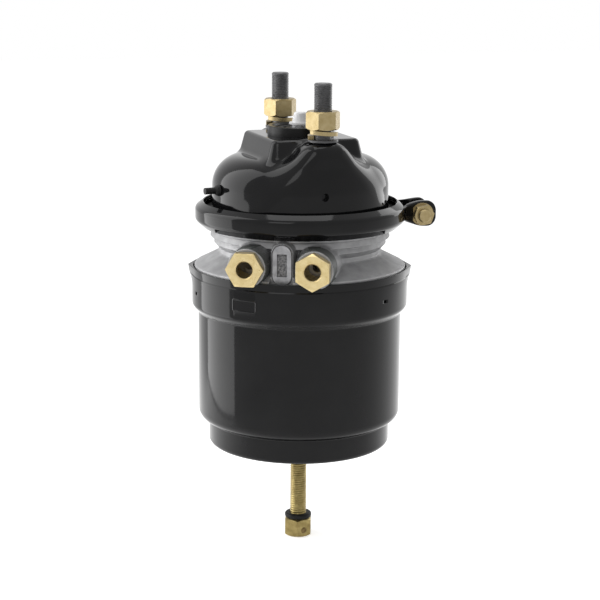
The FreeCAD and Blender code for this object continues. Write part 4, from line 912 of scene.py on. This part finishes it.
FRAME_PIXELS = 600
FOCAL_PIXELS = 1733.4
SHIFT_PIXELS = (0.49, -1.64)
SENSOR = 36
CAMERA_AZIMUTH = math.radians(-18.7)
CAMERA_RISE = math.radians(12.02)
CAMERA_ROLL = math.radians(0.39)
CAMERA_DISTANCE = 1.6
CAMERA_AIM = Vector((0, 0, -0.152))
FLOOR_HALF = 6.0
FLOOR_GAP = 0.0005
FLOOR_GLOW = 0.62
WORLD_SOFT = 0.45
WHITE = (1, 1, 1, 1)


def camera():
    """The photo's camera: aimed at the middle of the actuator from a little above."""
    level = math.cos(CAMERA_RISE)
    back = Vector((math.sin(CAMERA_AZIMUTH) * level, -math.cos(CAMERA_AZIMUTH) * level,
                   math.sin(CAMERA_RISE)))
    right = Vector((math.cos(CAMERA_AZIMUTH), math.sin(CAMERA_AZIMUTH), 0))
    up = back.cross(right)
    tilted_right = right * math.cos(CAMERA_ROLL) + up * math.sin(CAMERA_ROLL)
    tilted_up = up * math.cos(CAMERA_ROLL) - right * math.sin(CAMERA_ROLL)
    data = bpy.data.cameras.new("camera")
    data.sensor_width = SENSOR
    data.lens = SENSOR * FOCAL_PIXELS / FRAME_PIXELS
    data.shift_x = SHIFT_PIXELS[0] / FRAME_PIXELS
    data.shift_y = SHIFT_PIXELS[1] / FRAME_PIXELS
    data.clip_start, data.clip_end = 0.05, 50
    made = bpy.data.objects.new("camera", data)
    bpy.context.scene.collection.objects.link(made)
    rotation = Matrix((tilted_right, tilted_up, back)).transposed().to_4x4()
    made.matrix_world = Matrix.Translation(CAMERA_AIM + back * CAMERA_DISTANCE) @ rotation
    bpy.context.scene.camera = made


def lamp(name, place, target, size, power):
    """A rectangular lamp that faces its target."""
    data = bpy.data.lights.new(name, "AREA")
    data.shape = "RECTANGLE"
    data.size, data.size_y = size
    data.energy = power
    made = bpy.data.objects.new(name, data)
    bpy.context.scene.collection.objects.link(made)
    made.location = place
    made.rotation_euler = (Vector(target) - Vector(place)).to_track_quat("-Z", "Y").to_euler()


def world():
    """White to the camera, in reflections and through glass, soft grey light on the object."""
    made = bpy.data.worlds.new("studio")
    bpy.context.scene.world = made
    made.use_nodes = True
    tree = made.node_tree
    tree.nodes.clear()
    path = tree.nodes.new("ShaderNodeLightPath")
    seen = path.outputs["Is Camera Ray"]
    for kind in ("Is Transmission Ray", "Is Glossy Ray"):
        either = tree.nodes.new("ShaderNodeMath")
        either.operation = "MAXIMUM"
        tree.links.new(seen, either.inputs[0])
        tree.links.new(path.outputs[kind], either.inputs[1])
        seen = either.outputs[0]
    mix = tree.nodes.new("ShaderNodeMixShader")
    tree.links.new(seen, mix.inputs[0])
    for socket, strength in ((1, WORLD_SOFT), (2, 1.0)):
        light = tree.nodes.new("ShaderNodeBackground")
        light.inputs["Color"].default_value = WHITE
        light.inputs["Strength"].default_value = strength
        tree.links.new(light.outputs[0], mix.inputs[socket])
    out = tree.nodes.new("ShaderNodeOutputWorld")
    tree.links.new(mix.outputs[0], out.inputs["Surface"])


def floor():
    """Plain pale floor just under the release nut."""
    low = cad_box[0][2] - FLOOR_GAP
    corners = [(-1, -1), (1, -1), (1, 1), (-1, 1)]
    mesh = bpy.data.meshes.new("floor")
    mesh.from_pydata(
        [(x * FLOOR_HALF, y * FLOOR_HALF, low) for x, y in corners], [], [(0, 1, 2, 3)])
    g = Graph("floor")
    made = add_object("floor", mesh, g.material)
    g.link(g.blend(g.noise(3.0), (0.90, 0.90, 0.90), (0.92, 0.92, 0.92)), "Base Color")
    g.link(g.remap(g.noise(40.0), GRAIN_SPREAD, 0.75, 0.85), "Roughness")
    g.shader.inputs["Specular IOR Level"].default_value = 0.0
    path = g.node("LightPath", {})
    seen = g.node("Math", {0: path.outputs["Is Camera Ray"], 1: path.outputs["Is Glossy Ray"]},
                  operation="MAXIMUM").outputs[0]
    glow = g.node("Emission", {"Color": WHITE, "Strength": FLOOR_GLOW})
    dark = g.node("Emission", {"Color": (0, 0, 0, 1), "Strength": 0.0})
    extra = g.node("MixShader", {0: seen, 1: dark.outputs[0], 2: glow.outputs[0]})
    both = g.node("AddShader", {0: g.shader.outputs[0], 1: extra.outputs[0]})
    g.tree.links.new(both.outputs[0], g.tree.nodes["Material Output"].inputs["Surface"])


camera()
world()
floor()
lamp("panel", (-0.42, 0.22, 0.175), (0, 0.18, 0.175), (0.45, 1.1), 4.6)
lamp("key", (-1.3, -1.5, 1.3), (0, 0, -0.12), (1.0, 1.0), 8)
lamp("top", (0.1, 0.3, 1.9), (0, 0, -0.1), (1.2, 1.2), 12)
lamp("right", (1.1, 0.5, 0.3), (0, 0, -0.1), (0.6, 1.0), 4)
bpy.context.scene.view_settings.view_transform = "Standard"
